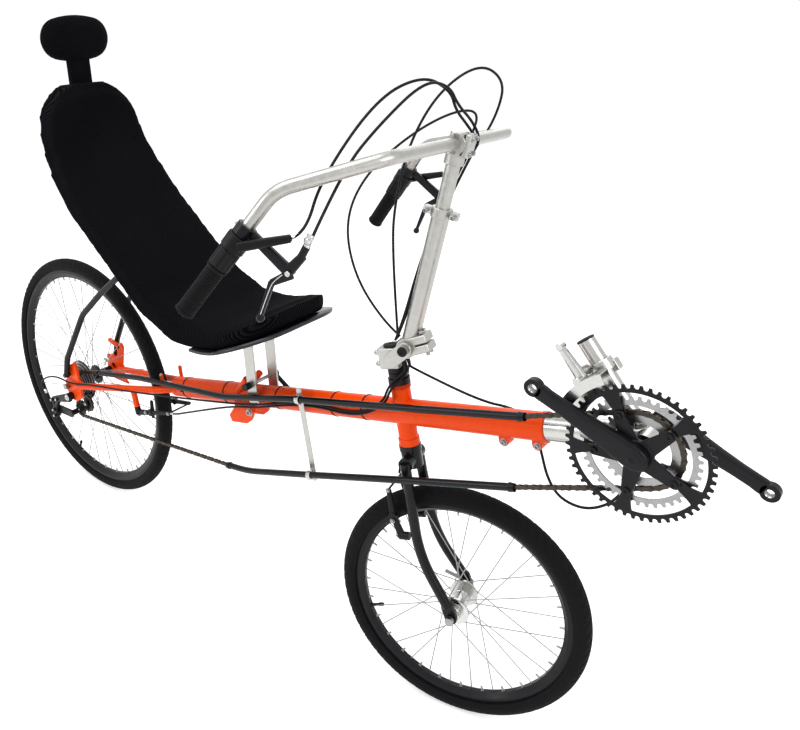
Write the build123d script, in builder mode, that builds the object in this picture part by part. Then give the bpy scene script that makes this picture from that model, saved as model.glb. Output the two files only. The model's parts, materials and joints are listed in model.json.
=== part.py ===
from build123d import *
from math import acos, asin, atan2, cos, degrees, pi, radians, sin, tan
import os

# Short-wheelbase recumbent bicycle.  +X is forward, +Y is the rider's left, +Z is up.
# The origin is on the seat, where the rider sits.  Sizes are in millimetres.
# Stations are given ahead of the rear axle and above the floor, and side() turns
# them into the part's own frame.
SEAT_AHEAD = 590
SEAT_HEIGHT = 722

# wheels
wheelbase = 1205
rear_radius = 346
rear_tyre_width = 37
rear_rim_depth = 22
rear_rim_inner = 293.5
rear_rim_width = 23
front_radius = 250
front_tyre_width = 42
front_rim_depth = 17
front_rim_inner = 201
front_rim_width = 25
spoke_radius = 1.0
bearing_gap = 0.05            # radial clearance of every axle and pin
side_gap = 0.6                # end clearance between turning pieces

# frame
frame_rise = 14.9             # degrees, the main tube's slope
main_tube_radius = 25
main_tube_wall = 2
boom_radius = 22.9
boom_reach = 1551             # bottom bracket, along the frame line from the rear axle
tube_tail = 402               # main tube's ends, along the frame line
tube_nose = 1388
stay_radius = 9
rear_axle_width = 135
front_axle_width = 100
axle_radius = 4.5

# steering
head_angle = 76
head_radius = 18.5
head_bore = 16
head_above = 58               # head tube's ends, from the main tube's axis
head_below = 66
steerer_radius = 14.3
fork_rake = 50
steered = 13.3                # degrees to the left, as the bicycle stands
cup_height = 12

# bars
pivot_ahead = 33              # bar post's pivot, from the steering axis
pivot_height = 762
post_lean = 8.6               # degrees forward of upright
post_radius = 16
post_inner_radius = 12.7
collar_up = 250               # clamp between the two post tubes, above the pivot
bar_up = 381                  # handlebar's centre above the pivot
bar_radius = 11.1
grip_radius = 15.5

# cranks
crank_length = 170
crank_angle = 157.8           # degrees, the right crank from forward
chain_line = 43
pitch = 12.7


def side(ahead, up, left=0):
    return Vector(ahead - SEAT_AHEAD, left, up - SEAT_HEIGHT)


def flat(ahead, up):
    return (ahead - SEAT_AHEAD, up - SEAT_HEIGHT)


rise = Vector(cos(radians(frame_rise)), 0, sin(radians(frame_rise)))
rise_up = Vector(-rise.Z, 0, rise.X)
rear_axle = side(0, rear_radius)
front_axle = side(wheelbase, front_radius)


def on_frame(along, up=0, left=0):
    return rear_axle + rise * along + rise_up * up + Vector(0, left, 0)


# The steering axis passes behind the front axle by the rake and meets the frame line.
steer_dir = Vector(-cos(radians(head_angle)), 0, sin(radians(head_angle)))
steer_out = Vector(sin(radians(head_angle)), 0, cos(radians(head_angle)))
steer_foot = front_axle - steer_out * fork_rake
gap = (rear_axle - steer_foot).dot(rise_up)
head_centre = steer_foot + steer_dir * (gap / steer_dir.dot(rise_up))
steer_axis = Axis(head_centre, steer_dir)
bracket = on_frame(boom_reach)


def on_steer(up, ahead=0, left=0):
    return head_centre + steer_dir * up + steer_out * ahead + Vector(0, left, 0)


def turned(part):
    """Turn a steered piece from straight ahead to how the bicycle stands."""
    return part.rotate(steer_axis, steered)


def rod(start, end, radius, bore=0, mode=Mode.ADD):
    with BuildSketch(Plane(origin=start, z_dir=end - start)) as disc:
        Circle(radius)
        if bore:
            Circle(bore, mode=Mode.SUBTRACT)
    extrude(disc.sketch, amount=(end - start).length, mode=mode)


def hole(start, end, radius):
    rod(start, end, radius, mode=Mode.SUBTRACT)


def bent_rod(points, radii, radius, bore=0):
    with BuildLine() as path:
        FilletPolyline(*points, radius=radii)
    with BuildSketch(Plane(origin=path.line @ 0, z_dir=path.line % 0)) as disc:
        Circle(radius)
        if bore:
            Circle(bore, mode=Mode.SUBTRACT)
    sweep(disc.sketch, path=path.line)


def strap(start, end, width, left, wall):
    """A flat round-ended bar on edge, from left towards the right by its wall."""
    along = Vector(end.X - start.X, 0, end.Z - start.Z)
    with BuildSketch(Plane(origin=Vector(start.X, left, start.Z), x_dir=along,
                           z_dir=(0, -1, 0))) as face:
        with Locations((along.length / 2, 0)):
            SlotOverall(along.length + width, width)
    extrude(face.sketch, amount=wall)


def save(builder, label):
    builder.part.label = label
    export_step(builder.part, "parts/" + label + ".step")


def save_turned(builder, label):
    part = turned(builder.part)
    part.label = label
    export_step(part, "parts/" + label + ".step")


os.makedirs("parts", exist_ok=True)


# ---- wheels: straight ahead, revolved about their axles ----
def wheel_plane(centre):
    return Plane(origin=centre, x_dir=(1, 0, 0), z_dir=(0, -1, 0))


def tyre(centre, radius, width, seat_radius):
    ring_radius = radius - width / 2
    with BuildPart() as made:
        with BuildSketch(Plane(origin=centre, x_dir=(0, 1, 0), z_dir=(-1, 0, 0))):
            with Locations((0, ring_radius)):
                Circle(width / 2)
            with Locations((0, seat_radius - width / 2)):
                Rectangle(2 * width, width, mode=Mode.SUBTRACT)
        revolve(axis=Axis(centre, (0, 1, 0)))
    return made


def rim(centre, inner, depth, width):
    with BuildPart() as made:
        with BuildSketch(Plane(origin=centre, x_dir=(0, 1, 0), z_dir=(-1, 0, 0))):
            with BuildLine():
                Polyline((-width / 2, inner + depth), (width / 2, inner + depth),
                         (width / 2, inner + depth - 9), (width / 5, inner),
                         (-width / 5, inner), (-width / 2, inner + depth - 9), close=True)
            make_face()
        revolve(axis=Axis(centre, (0, 1, 0)))
    return made


def spokes(centre, count, flange_radius, flange_y, rim_radius, cross):
    """Half the spokes on each flange, leaning forward and back in turn."""
    with BuildPart() as made:
        for i in range(count):
            left = 1 if i % 2 else -1
            lean = cross if (i // 2) % 2 else -cross
            turn = 360 / count * i
            foot = radians(turn + lean)
            tip = radians(turn)
            start = centre + Vector(flange_radius * cos(foot), left * flange_y,
                                    flange_radius * sin(foot))
            end = centre + Vector(rim_radius * cos(tip), 0, rim_radius * sin(tip))
            rod(start, end, spoke_radius)
    return made


def hub(centre, width, barrel, flange_radius, flange_y, flange_wall):
    half = width / 2 - side_gap
    with BuildPart() as made:
        rod(centre + Vector(0, -half, 0), centre + Vector(0, half, 0), 9)
        rod(centre + Vector(0, -flange_y, 0), centre + Vector(0, flange_y, 0), barrel)
        for y in (-flange_y, flange_y):
            rod(centre + Vector(0, y - flange_wall / 2, 0),
                centre + Vector(0, y + flange_wall / 2, 0), flange_radius)
        hole(centre + Vector(0, -width, 0), centre + Vector(0, width, 0),
             axle_radius + bearing_gap)
    return made


rear_seat = rear_rim_inner + rear_rim_depth
front_seat = front_rim_inner + front_rim_depth
save(tyre(rear_axle, rear_radius, rear_tyre_width, rear_seat), "rear_tyre")
save(rim(rear_axle, rear_rim_inner, rear_rim_depth, rear_rim_width), "rear_rim")
save(spokes(rear_axle, 32, 24, 20, rear_rim_inner + 1.5, 70), "rear_spokes")
save(hub(rear_axle, rear_axle_width, 13, 27, 20, 4), "rear_hub")
save_turned(tyre(front_axle, front_radius, front_tyre_width, front_seat), "front_tyre")
save_turned(rim(front_axle, front_rim_inner, front_rim_depth, front_rim_width), "front_rim")
save_turned(spokes(front_axle, 28, 24, 30, front_rim_inner + 1.5, 60), "front_spokes")
save_turned(hub(front_axle, front_axle_width, 15, 28, 30, 4), "front_hub")

# cassette: nine cogs on a carrier that turns on the hub's barrel
cog_teeth = (11, 12, 14, 16, 18, 20, 23, 26, 28)
cog_step = 4.3
chain_cog = 4                 # the cog in the chain line
with BuildPart() as cassette:
    for i, teeth in enumerate(cog_teeth):
        y = -chain_line + (i - chain_cog) * cog_step
        rod(rear_axle + Vector(0, y - 0.9, 0), rear_axle + Vector(0, y + 0.9, 0),
            teeth * pitch / (2 * pi) + 1.5)
    rod(rear_axle + Vector(0, -chain_line - chain_cog * cog_step - 2, 0),
        rear_axle + Vector(0, -chain_line + (8 - chain_cog) * cog_step + 0.9, 0), 18)
    hole(rear_axle + Vector(0, -100, 0), rear_axle + Vector(0, 0, 0), 13)
save(cassette, "cassette")


# ---- main frame ----
dropout_face = rear_axle_width / 2
dropout_wall = 6
hanger = (14, 320)            # rear derailleur's bolt: ahead, up
with BuildPart() as main_frame:
    rod(on_frame(tube_tail), on_frame(tube_nose), main_tube_radius)
    rod(on_steer(-head_below), on_steer(head_above), head_radius)
    rod(on_steer(-head_below), on_steer(-head_below + 14), head_radius + 2)
    for left in (-1, 1):
        bent_rod([on_frame(tube_tail + 24, 0, left * 14), on_frame(tube_tail - 34, 0, left * 36),
                  on_frame(46, 0, left * (dropout_face + dropout_wall / 2))], 40, stay_radius)
        # dropout plate, with the seat stay's eye above the axle
        face = Plane.XZ.offset(-left * dropout_face if left > 0 else dropout_face)
        with BuildSketch(face):
            with BuildLine():
                Polyline(flat(62, rear_radius + 28), flat(20, rear_radius + 48),
                         flat(4, rear_radius + 48), flat(-12, rear_radius + 8),
                         flat(-12, rear_radius - 14), flat(14, rear_radius - 20),
                         flat(60, rear_radius + 4), close=True)
            make_face()
        extrude(amount=-dropout_wall if left > 0 else dropout_wall)
    rod(side(*hanger, -dropout_face), side(*hanger, -dropout_face - dropout_wall), 11)
    hole(side(*hanger, -40), side(*hanger, -100), 5 + bearing_gap)
    # bores: boom socket, steerer, axle
    hole(on_frame(tube_nose - 190), on_frame(tube_nose + 5), boom_radius + bearing_gap)
    hole(on_steer(-head_below - 5), on_steer(head_above + 5), head_bore)
    hole(rear_axle + Vector(0, -100, 0), rear_axle + Vector(0, 100, 0),
         axle_radius + bearing_gap)
    # pinch lugs under the boom socket
    for along in (tube_nose - 20, tube_nose - 82):
        with BuildSketch(Plane(origin=on_frame(along, 0), x_dir=rise, z_dir=(0, -1, 0))):
            with Locations((0, -main_tube_radius - 6)):
                Circle(9)
                Rectangle(18, 18, align=(Align.CENTER, Align.MIN))
        extrude(amount=11, both=True)
        with BuildSketch(Plane(origin=on_frame(along, 0), x_dir=rise, z_dir=(0, -1, 0))):
            with Locations((0, -main_tube_radius - 7)):
                Circle(3.2)
        extrude(amount=20, both=True, mode=Mode.SUBTRACT)
    hole(on_frame(tube_nose - 190), on_frame(tube_nose + 5), boom_radius + bearing_gap)
save(main_frame, "main_frame")

# ---- boom with the bottom bracket shell and the front derailleur's post ----
shell_half = 34
shell_radius = 20.5
spindle_radius = 12
post_top = Vector(-118, 0, 128)
post_foot = Vector(-22, 0, 18)
with BuildPart() as boom:
    rod(on_frame(tube_nose - 150), bracket, boom_radius)
    rod(bracket + Vector(0, -shell_half, 0), bracket + Vector(0, shell_half, 0), shell_radius)
    rod(bracket + post_foot, bracket + post_top, 14.3)
    hole(bracket + Vector(0, -40, 0), bracket + Vector(0, 40, 0), spindle_radius + bearing_gap)
save(boom, "boom")

with BuildPart() as headset_cups:
    rod(on_steer(head_above), on_steer(head_above + cup_height), head_radius + 2.5,
        steerer_radius + bearing_gap)
    rod(on_steer(head_above - 12), on_steer(head_above), head_bore,
        steerer_radius + bearing_gap)
    rod(on_steer(-head_below - cup_height), on_steer(-head_below), head_radius + 3,
        steerer_radius + bearing_gap)
    rod(on_steer(-head_below), on_steer(-head_below + 12), head_bore,
        steerer_radius + bearing_gap)
save(headset_cups, "headset_cups")

# ---- seat stays: bent tubes from the dropouts to the seat's back ----
stay_y = dropout_face + dropout_wall + 9
with BuildPart() as seat_stays:
    for left in (-1, 1):
        bent_rod([side(10, rear_radius + 36, left * stay_y), side(24, 440, left * stay_y),
                  side(108, 588, left * 74), side(190, 668, left * 66),
                  side(322, 775, left * 58)], [60, 90, 120], 8)
        rod(side(12, rear_radius + 40, left * (dropout_face + dropout_wall)),
            side(12, rear_radius + 40, left * (stay_y + 9)), 6)
save(seat_stays, "seat_stays")

# ---- seat ----
# side profile of the pad's middle line: ahead, up, radius of the bend there
pad_line = (
    (118, 1172, 0),
    (118, 1040, 260),
    (232, 905, 300),
    (462, 728, 150),
    (560, 694, 150),
    (668, 700, 200),
    (800, 756, 0),
)
pad_thickness = 34
shell_thickness = 6
shell_lip = 8                 # the shell reaches past the pad's edge
seat_half = 150
seat_top_half = 118


def layer_points(back):
    """Corners of the line that runs behind the pad's middle line by back."""
    points = [Vector(*flat(ahead, up)) for ahead, up, bend in pad_line]
    turns = []
    for i, here in enumerate(points):
        before = (here - points[max(i - 1, 0)]) if i else (points[1] - here)
        after = (points[i + 1] - here) if i + 1 < len(points) else before
        before, after = before.normalized(), after.normalized()
        middle = (before + after).normalized()
        across = Vector(middle.Y, -middle.X)
        turns.append(here + across * (back / middle.dot(before)))
    return [(p.X, p.Y) for p in turns]


def layer_radii(back):
    """Bend radii of that line: hollow bends grow and round ones shrink with depth."""
    radii = []
    for i in range(1, len(pad_line) - 1):
        radii.append(pad_line[i][2] + back)
    return radii


def seat_layer(back, thickness, grow):
    """One layer of the seat, trimmed to its front outline and its plan."""
    wide = seat_half + grow
    narrow = seat_top_half + grow
    top = pad_line[0][1] - SEAT_HEIGHT + grow
    with BuildSketch(Plane.XZ) as band:
        with BuildLine():
            FilletPolyline(*layer_points(back), radius=layer_radii(back))
        trace(line_width=thickness)
    extrude(band.sketch, amount=wide, both=True)
    with BuildSketch(Plane(origin=(-900, 0, 0), x_dir=(0, 1, 0), z_dir=(1, 0, 0))) as front:
        with BuildLine():
            Polyline((-wide, -300), (-wide, top - 250), (-narrow, top), (narrow, top),
                     (wide, top - 250), (wide, -300), close=True)
        make_face()
        fillet(front.vertices().group_by(Axis.Z)[-1], 90)
    extrude(front.sketch, amount=1400, mode=Mode.INTERSECT)
    nose = pad_line[-1][0] - SEAT_AHEAD + grow
    with BuildSketch(Plane.XY.offset(-400)) as plan:
        with Locations((nose - 500, 0)):
            RectangleRounded(1000, 2 * wide, 105)
    extrude(plan.sketch, amount=1000, mode=Mode.INTERSECT)


with BuildPart() as seat_pad:
    seat_layer(0, pad_thickness, 0)
save(seat_pad, "seat_pad")

shell_back = pad_thickness / 2 + shell_thickness / 2 + 0.3
with BuildPart() as seat_shell:
    seat_layer(shell_back, shell_thickness, shell_lip)
save(seat_shell, "seat_shell")

# ---- headrest ----
headrest_centre = side(86, 1268)
headrest_size = (62, 184, 106)
head_post_size = (6, 52, 128)
with BuildPart() as headrest:
    with Locations(headrest_centre):
        Box(*headrest_size)
    fillet(headrest.edges(), 29)
save(headrest, "headrest")

post_x = pad_line[0][0] - pad_thickness / 2 - shell_thickness - 0.3 - head_post_size[0] / 2
with BuildPart() as headrest_post:
    with Locations(side(post_x, 1150)):
        Box(*head_post_size)
save(headrest_post, "headrest_post")

# ---- seat struts: two flat strips from the frame's clamp to the shell ----
strut_top = (674, 655)
strut_foot = (688, 532)
strut_wide = 28
strut_wall = 4
strut_y = 33
pin_at = (676, 564)
with BuildPart() as seat_struts:
    for left in (-strut_y, strut_y):
        strap(side(*strut_foot), side(*strut_top), strut_wide, left + strut_wall / 2, strut_wall)
    rod(side(*pin_at, -strut_y - 14), side(*pin_at, strut_y + 14), 4)
save(seat_struts, "seat_struts")

with BuildPart() as seat_lever:
    rod(side(*pin_at, strut_y + 4), side(*pin_at, strut_y + 20), 9)
    rod(side(*pin_at, -strut_y - 16), side(*pin_at, -strut_y - 3), 8)
    rod(side(*pin_at, strut_y + 14), side(pin_at[0] + 42, pin_at[1] - 34, strut_y + 22), 5)
    hole(side(*pin_at, -strut_y - 14), side(*pin_at, strut_y + 14), 4)
save(seat_lever, "seat_lever")

# ---- chain: one planar run in the chain line ----
ring_teeth = (30, 42, 52)
ring_step = 7
small_ring = ring_teeth[0] * pitch / (2 * pi)
cog_radius = cog_teeth[chain_cog] * pitch / (2 * pi)
jockey_radius = 11 * pitch / (2 * pi)
upper_jockey = (38, 292)
lower_jockey = (4, 262)
plate_height = 8.4
plate_wall = 1.1
chain_inside = 2.2            # half the gap between the plates
# chain tubes' corners: ahead, up, outboard
upper_waypoints = ((1308, 729, 43), (1077, 660, 43), (810, 582, 43), (600, 512, 43),
                   (290, 455, 43), (108, 409, 43))
lower_waypoints = ((622, 342, 50), (682, 355, 52), (873, 432, 58), (1094, 519, 58),
                   (1308, 597, 50))
chain_bend = 380


def tangent(start, start_radius, start_turn, end, end_radius, end_turn):
    """Touching points of the straight run between two wheels; turn is +1 anticlockwise."""
    span = Vector(*end) - Vector(*start)
    lean = asin((end_turn * end_radius - start_turn * start_radius) / span.length)
    heading = atan2(span.Y, span.X) - lean
    normal = Vector(-sin(heading), cos(heading))
    leave = Vector(*start) - normal * start_radius * start_turn
    reach = Vector(*end) - normal * end_radius * end_turn
    return (leave.X, leave.Y), (reach.X, reach.Y)


def wrap(centre, start, end, turn):
    """Arc round a wheel from start to end, the way the chain turns."""
    first = atan2(start[1] - centre[1], start[0] - centre[0])
    last = atan2(end[1] - centre[1], end[0] - centre[0])
    sweep_angle = (last - first) * turn % (2 * pi) * turn
    middle = first + sweep_angle / 2
    reach = ((start[0] - centre[0]) ** 2 + (start[1] - centre[1]) ** 2) ** 0.5
    return (centre[0] + reach * cos(middle), centre[1] + reach * sin(middle))


ring_centre = (bracket.X, bracket.Z)
cog_centre = (rear_axle.X, rear_axle.Z)
upper_ends = [flat(*upper_waypoints[0][:2]), flat(*upper_waypoints[-1][:2])]
lower_ends = [flat(*lower_waypoints[0][:2]), flat(*lower_waypoints[-1][:2])]
top_centre = flat(*upper_jockey)
low_centre = flat(*lower_jockey)
ring_top, first_upper = tangent(ring_centre, small_ring, 1, upper_ends[0], 0, 1)
last_upper, cog_top = tangent(upper_ends[1], 0, 1, cog_centre, cog_radius, 1)
cog_off, jockey_on = tangent(cog_centre, cog_radius, 1, top_centre, jockey_radius, -1)
jockey_off, low_on = tangent(top_centre, jockey_radius, -1, low_centre, jockey_radius, 1)
low_off, first_lower = tangent(low_centre, jockey_radius, 1, lower_ends[0], 0, 1)
last_lower, ring_foot = tangent(lower_ends[1], 0, 1, ring_centre, small_ring, 1)

with BuildSketch(Plane.XZ) as wraps:
    with BuildLine():
        ThreePointArc(cog_top, wrap(cog_centre, cog_top, cog_off, 1), cog_off)
        Line(cog_off, jockey_on)
        ThreePointArc(jockey_on, wrap(top_centre, jockey_on, jockey_off, -1), jockey_off)
        Line(jockey_off, low_on)
        ThreePointArc(low_on, wrap(low_centre, low_on, low_off, 1), low_off)
    with BuildLine():
        ThreePointArc(ring_foot, wrap(ring_centre, ring_foot, ring_top, 1), ring_top)
    trace(line_width=plate_height)


def in_line(point):
    return Vector(point[0], -chain_line, point[1])


def chain_run(start, end):
    """A straight open stretch: two rows of plates and the rollers between them."""
    along = end - start
    plane = Plane(origin=start, x_dir=along, z_dir=Vector(0, -1, 0).cross(along).cross(along) * -1)
    with BuildSketch(plane) as row:
        with Locations((along.length / 2, 0)):
            Rectangle(along.length + 2, plate_height - 0.5)
    across = plane.z_dir
    for away in (chain_inside, -chain_inside - plate_wall):
        extrude(row.sketch.moved(Location(across * away)), amount=plate_wall)
    count = max(2, int(along.length / (8 * pitch)))
    for i in range(count):
        at = start + along * ((i + 0.5) / count)
        rod(at - across * chain_inside, at + across * chain_inside, 3.8)


def tube_points(waypoints):
    return [side(ahead, up, -out) for ahead, up, out in waypoints]


with BuildPart() as chain:
    for y in (chain_line + chain_inside, chain_line - chain_inside - plate_wall):
        extrude(wraps.sketch.moved(Location((0, -y, 0))), amount=plate_wall)
    chain_run(in_line(ring_top), side(*upper_waypoints[0][:2], -upper_waypoints[0][2]))
    chain_run(tube_points(upper_waypoints)[-1], in_line(cog_top))
    chain_run(in_line(low_off), tube_points(lower_waypoints)[0])
    chain_run(tube_points(lower_waypoints)[-1], in_line(ring_foot))
    for points in (tube_points(upper_waypoints), tube_points(lower_waypoints)):
        bent_rod(points, [chain_bend] * (len(points) - 2), 3.4)
save(chain, "chain")

# ---- chain tubes and the arm that carries the lower one ----
tube_outer = 7
tube_bore = 5.7

with BuildPart() as upper_chain_tube:
    bent_rod(tube_points(upper_waypoints), [chain_bend] * 4, tube_outer, tube_bore)
save(upper_chain_tube, "upper_chain_tube")

with BuildPart() as lower_chain_tube:
    bent_rod(tube_points(lower_waypoints), [chain_bend] * 3, tube_outer, tube_bore)
save(lower_chain_tube, "lower_chain_tube")

arm_top = (822, 602)
arm_foot = (866, 410)
arm_y = 43 - tube_outer - 2.3
with BuildPart() as chain_tube_arm:
    strap(side(*arm_foot), side(*arm_top), 14, -arm_y, 2)
save(chain_tube_arm, "chain_tube_arm")

# ---- cranks: spindle, arms, spider and three rings ----
turn = radians(crank_angle)
arm_dir = Vector(cos(turn), 0, sin(turn))
crank_y = 66
crank_wall = 14
pedal_out = 12
pedal_hole = 6.9


def crank_arm(left):
    out = Vector(0, left, 0)
    tip = bracket + arm_dir * (crank_length * -left)
    root = bracket + out * crank_y
    with BuildSketch(Plane(origin=root, x_dir=arm_dir * -left, z_dir=out)) as boss:
        Circle(21)
    extrude(boss.sketch, amount=crank_wall + 2)
    with BuildSketch(Plane(origin=root + out * 3, x_dir=arm_dir * -left, z_dir=out)) as blade:
        with BuildLine():
            Polyline((0, -17), (crank_length, -13), (crank_length, 13), (0, 17), close=True)
        make_face()
        with Locations((crank_length, 0)):
            Circle(15)
    extrude(blade.sketch, amount=crank_wall + pedal_out - 3)
    hole(tip + out * 40, tip + out * 120, pedal_hole)


with BuildPart() as cranks:
    rod(bracket + Vector(0, -crank_y - 8, 0), bracket + Vector(0, crank_y + 8, 0),
        spindle_radius)
    for left in (-1, 1):
        crank_arm(left)
    # spider
    for i in range(5):
        angle = turn + 2 * pi * i / 5 + pi / 5
        reach = Vector(cos(angle), 0, sin(angle))
        start = bracket + Vector(0, -crank_y - 2, 0)
        with BuildSketch(Plane(origin=bracket + Vector(0, -chain_line - 2 * ring_step - 1.6, 0),
                               x_dir=reach, z_dir=(0, -1, 0))) as spoke_arm:
            with BuildLine():
                Polyline((0, -14), (62, -8), (62, 8), (0, 14), close=True)
            make_face()
        extrude(spoke_arm.sketch, amount=6)
    rod(bracket + Vector(0, -crank_y - 2, 0),
        bracket + Vector(0, -chain_line - 2 * ring_step - 1.6, 0), 24)
save(cranks, "cranks")


def chainring(teeth, y, inner, wall):
    """Toothed ring in its own plane, each tooth a cut between two neighbours."""
    root = teeth * pitch / (2 * pi)
    with BuildPart() as made:
        with BuildSketch(Plane(origin=bracket + Vector(0, -y, 0), x_dir=arm_dir,
                               z_dir=(0, -1, 0))) as face:
            Circle(root + 3.2)
            with PolarLocations(root + 0.4, teeth):
                Circle(3.9, mode=Mode.SUBTRACT)
            Circle(inner, mode=Mode.SUBTRACT)
        extrude(face.sketch, amount=wall / 2, both=True)
    return made


save(chainring(ring_teeth[0], chain_line, 38, 2), "inner_chainring")
save(chainring(ring_teeth[1], chain_line + ring_step, 60, 2.4), "middle_chainring")
save(chainring(ring_teeth[2], chain_line + 2 * ring_step, 60, 3), "outer_chainring")

# ---- rear derailleur ----
with BuildPart() as rear_derailleur:
    for centre in (top_centre, low_centre):
        rod(Vector(centre[0], -chain_line - 1.2, centre[1]),
            Vector(centre[0], -chain_line + 1.2, centre[1]), jockey_radius - 4.6)
        rod(Vector(centre[0], -chain_line - 9, centre[1]),
            Vector(centre[0], -chain_line + 9, centre[1]), 4)
    for y in (-chain_line - 6.5, -chain_line + 6.5):
        with BuildSketch(Plane.XZ.offset(-y)) as cage:
            span = Vector(*low_centre) - Vector(*top_centre)
            with Locations(Location(((Vector(*top_centre) + Vector(*low_centre)) * 0.5),
                                    degrees(atan2(span.Y, span.X)))):
                SlotOverall(span.length + 22, 22)
        extrude(cage.sketch, amount=1, both=True)
    knuckle = -dropout_face - dropout_wall - 0.2
    rod(side(*hanger, -dropout_face + 2), side(*hanger, knuckle - 16), 5)
    rod(side(*hanger, knuckle), side(*hanger, knuckle - 18), 10)
    strap(side(*hanger), Vector(top_centre[0], 0, top_centre[1]), 18, knuckle - 2, 12)
    rod(Vector(top_centre[0], -chain_line - 7, top_centre[1]),
        Vector(top_centre[0], knuckle - 16, top_centre[1]), 10)
save(rear_derailleur, "rear_derailleur")

# ---- front derailleur ----
post_dir = (post_top - post_foot).normalized()
with BuildPart() as front_derailleur:
    at = bracket + post_foot + post_dir * 92
    rod(at, at + post_dir * 18, 20, 14.3 + bearing_gap)
    body = at + post_dir * 9
    rod(body + Vector(0, -18, 0), body + Vector(-8, -44, 6), 9)
    with BuildSketch(Plane(origin=bracket + Vector(0, -chain_line + 9, 0), x_dir=(1, 0, 0),
                           z_dir=(0, -1, 0))) as cage:
        with BuildLine():
            CenterArc((0, 0), 126, 100, 40)
            CenterArc((0, 0), 98, 100, 40)
            Line((126 * cos(radians(100)), 126 * sin(radians(100))),
                 (98 * cos(radians(100)), 98 * sin(radians(100))))
            Line((126 * cos(radians(140)), 126 * sin(radians(140))),
                 (98 * cos(radians(140)), 98 * sin(radians(140))))
        make_face()
    extrude(cage.sketch, amount=-2)
save(front_derailleur, "front_derailleur")

# ---- steered group, straight ahead ----
blade_y = 37
crown_up = -head_below - cup_height - 1
dropout_inner = front_axle_width / 2
with BuildPart() as fork:
    rod(on_steer(crown_up - 4), on_steer(head_above + cup_height + 40), steerer_radius)
    rod(on_steer(crown_up - 32), on_steer(crown_up), 20)
    rod(on_steer(crown_up - 16, 0, -blade_y), on_steer(crown_up - 16, 0, blade_y), 14)
    for left in (-1, 1):
        end = front_axle + Vector(-9, left * (dropout_inner + 4), 22)
        bent_rod([on_steer(crown_up - 12, 0, left * (blade_y - 1)),
                  on_steer(crown_up - 60, 0, left * blade_y),
                  on_steer(crown_up - 200, 2, left * (blade_y + 9)),
                  end], [40, 260], 10)
        strap(front_axle, end, 24, dropout_inner + 7 if left > 0 else -dropout_inner, 7)
    hole(front_axle + Vector(0, -90, 0), front_axle + Vector(0, 90, 0), axle_radius + bearing_gap)
save_turned(fork, "fork")


def skewer(centre, half):
    with BuildPart() as made:
        rod(centre + Vector(0, -half - 12, 0), centre + Vector(0, half + 12, 0), axle_radius)
        rod(centre + Vector(0, -half - 18, 0), centre + Vector(0, -half - 8, 0), 8)
        rod(centre + Vector(0, half + 8, 0), centre + Vector(0, half + 20, 0), 8)
        rod(centre + Vector(0, half + 16, 0), centre + Vector(-52, half + 16, 8), 4)
    return made


save(skewer(rear_axle, dropout_face + 1), "rear_skewer")
save_turned(skewer(front_axle, dropout_inner + 1), "front_skewer")

pivot = side(0, 0) * 0
pivot_up = (side(0, pivot_height) - head_centre).Z / steer_dir.Z
pivot = on_steer(pivot_up, pivot_ahead)
pivot = Vector(pivot.X, 0, pivot_height - SEAT_HEIGHT)
pin_radius = 8
ear_y = 24
with BuildPart() as stem:
    rod(on_steer(head_above + cup_height + 1), on_steer(head_above + cup_height + 40), 21,
        steerer_radius)
    for left in (-1, 1):
        near = on_steer(head_above + cup_height + 22, 4)
        strap(near, pivot, 34, left * ear_y + 5, 10)
    rod(on_steer(head_above + cup_height + 22, 12, -ear_y - 5),
        on_steer(head_above + cup_height + 22, 12, ear_y + 5), 8)
    hole(on_steer(head_above + cup_height - 5), on_steer(head_above + cup_height + 45),
         steerer_radius)
    hole(pivot + Vector(0, -60, 0), pivot + Vector(0, 60, 0), pin_radius + bearing_gap)
save_turned(stem, "stem")

# ---- tiller: post, clamp, bar, grips, levers ----
post_lean_dir = Vector(sin(radians(post_lean)), 0, cos(radians(post_lean)))
bar_centre = pivot + post_lean_dir * bar_up
with BuildPart() as post:
    rod(pivot + Vector(0, -ear_y - 12, 0), pivot + Vector(0, ear_y + 12, 0), pin_radius)
    rod(pivot + Vector(0, -ear_y + 5 + side_gap, 0), pivot + Vector(0, ear_y - 5 - side_gap, 0),
        19)
    rod(pivot, pivot + post_lean_dir * collar_up, post_radius)
    hole(pivot + post_lean_dir * (collar_up - 120), pivot + post_lean_dir * (collar_up + 5),
         post_inner_radius + bearing_gap)
save_turned(post, "post")

with BuildPart() as post_upper:
    rod(pivot + post_lean_dir * (collar_up - 110), bar_centre - post_lean_dir * (bar_radius + 3),
        post_inner_radius)
save_turned(post_upper, "post_upper")

with BuildPart() as clamps:
    rod(pivot + post_lean_dir * (collar_up + 0.5), pivot + post_lean_dir * (collar_up + 20), 19,
        post_inner_radius + bearing_gap)
    rod(bar_centre + Vector(0, -20, 0), bar_centre + Vector(0, 20, 0), 18)
    rod(bar_centre - post_lean_dir * 34, bar_centre - post_lean_dir * 10, 17)
    hole(bar_centre + Vector(0, -30, 0), bar_centre + Vector(0, 30, 0),
         bar_radius + bearing_gap)
    hole(bar_centre - post_lean_dir * 60, bar_centre - post_lean_dir * (bar_radius + 3),
         post_inner_radius + bearing_gap)
save_turned(clamps, "clamps")

bar_corner = (0, 225, 0)
elbow = (-168, 318, -51)
grip_span = 158               # shifter and grip together, back from the bar's end
grip_end = (-294, 371, -247)


def from_bar(point, left):
    return bar_centre + Vector(point[0], left * point[1], point[2])


with BuildPart() as handlebar:
    bent_rod([from_bar(grip_end, -1), from_bar(elbow, -1), from_bar(bar_corner, -1),
              from_bar(bar_corner, 1), from_bar(elbow, 1), from_bar(grip_end, 1)],
             [90, 60, 60, 90], bar_radius)
save_turned(handlebar, "handlebar")


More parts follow.
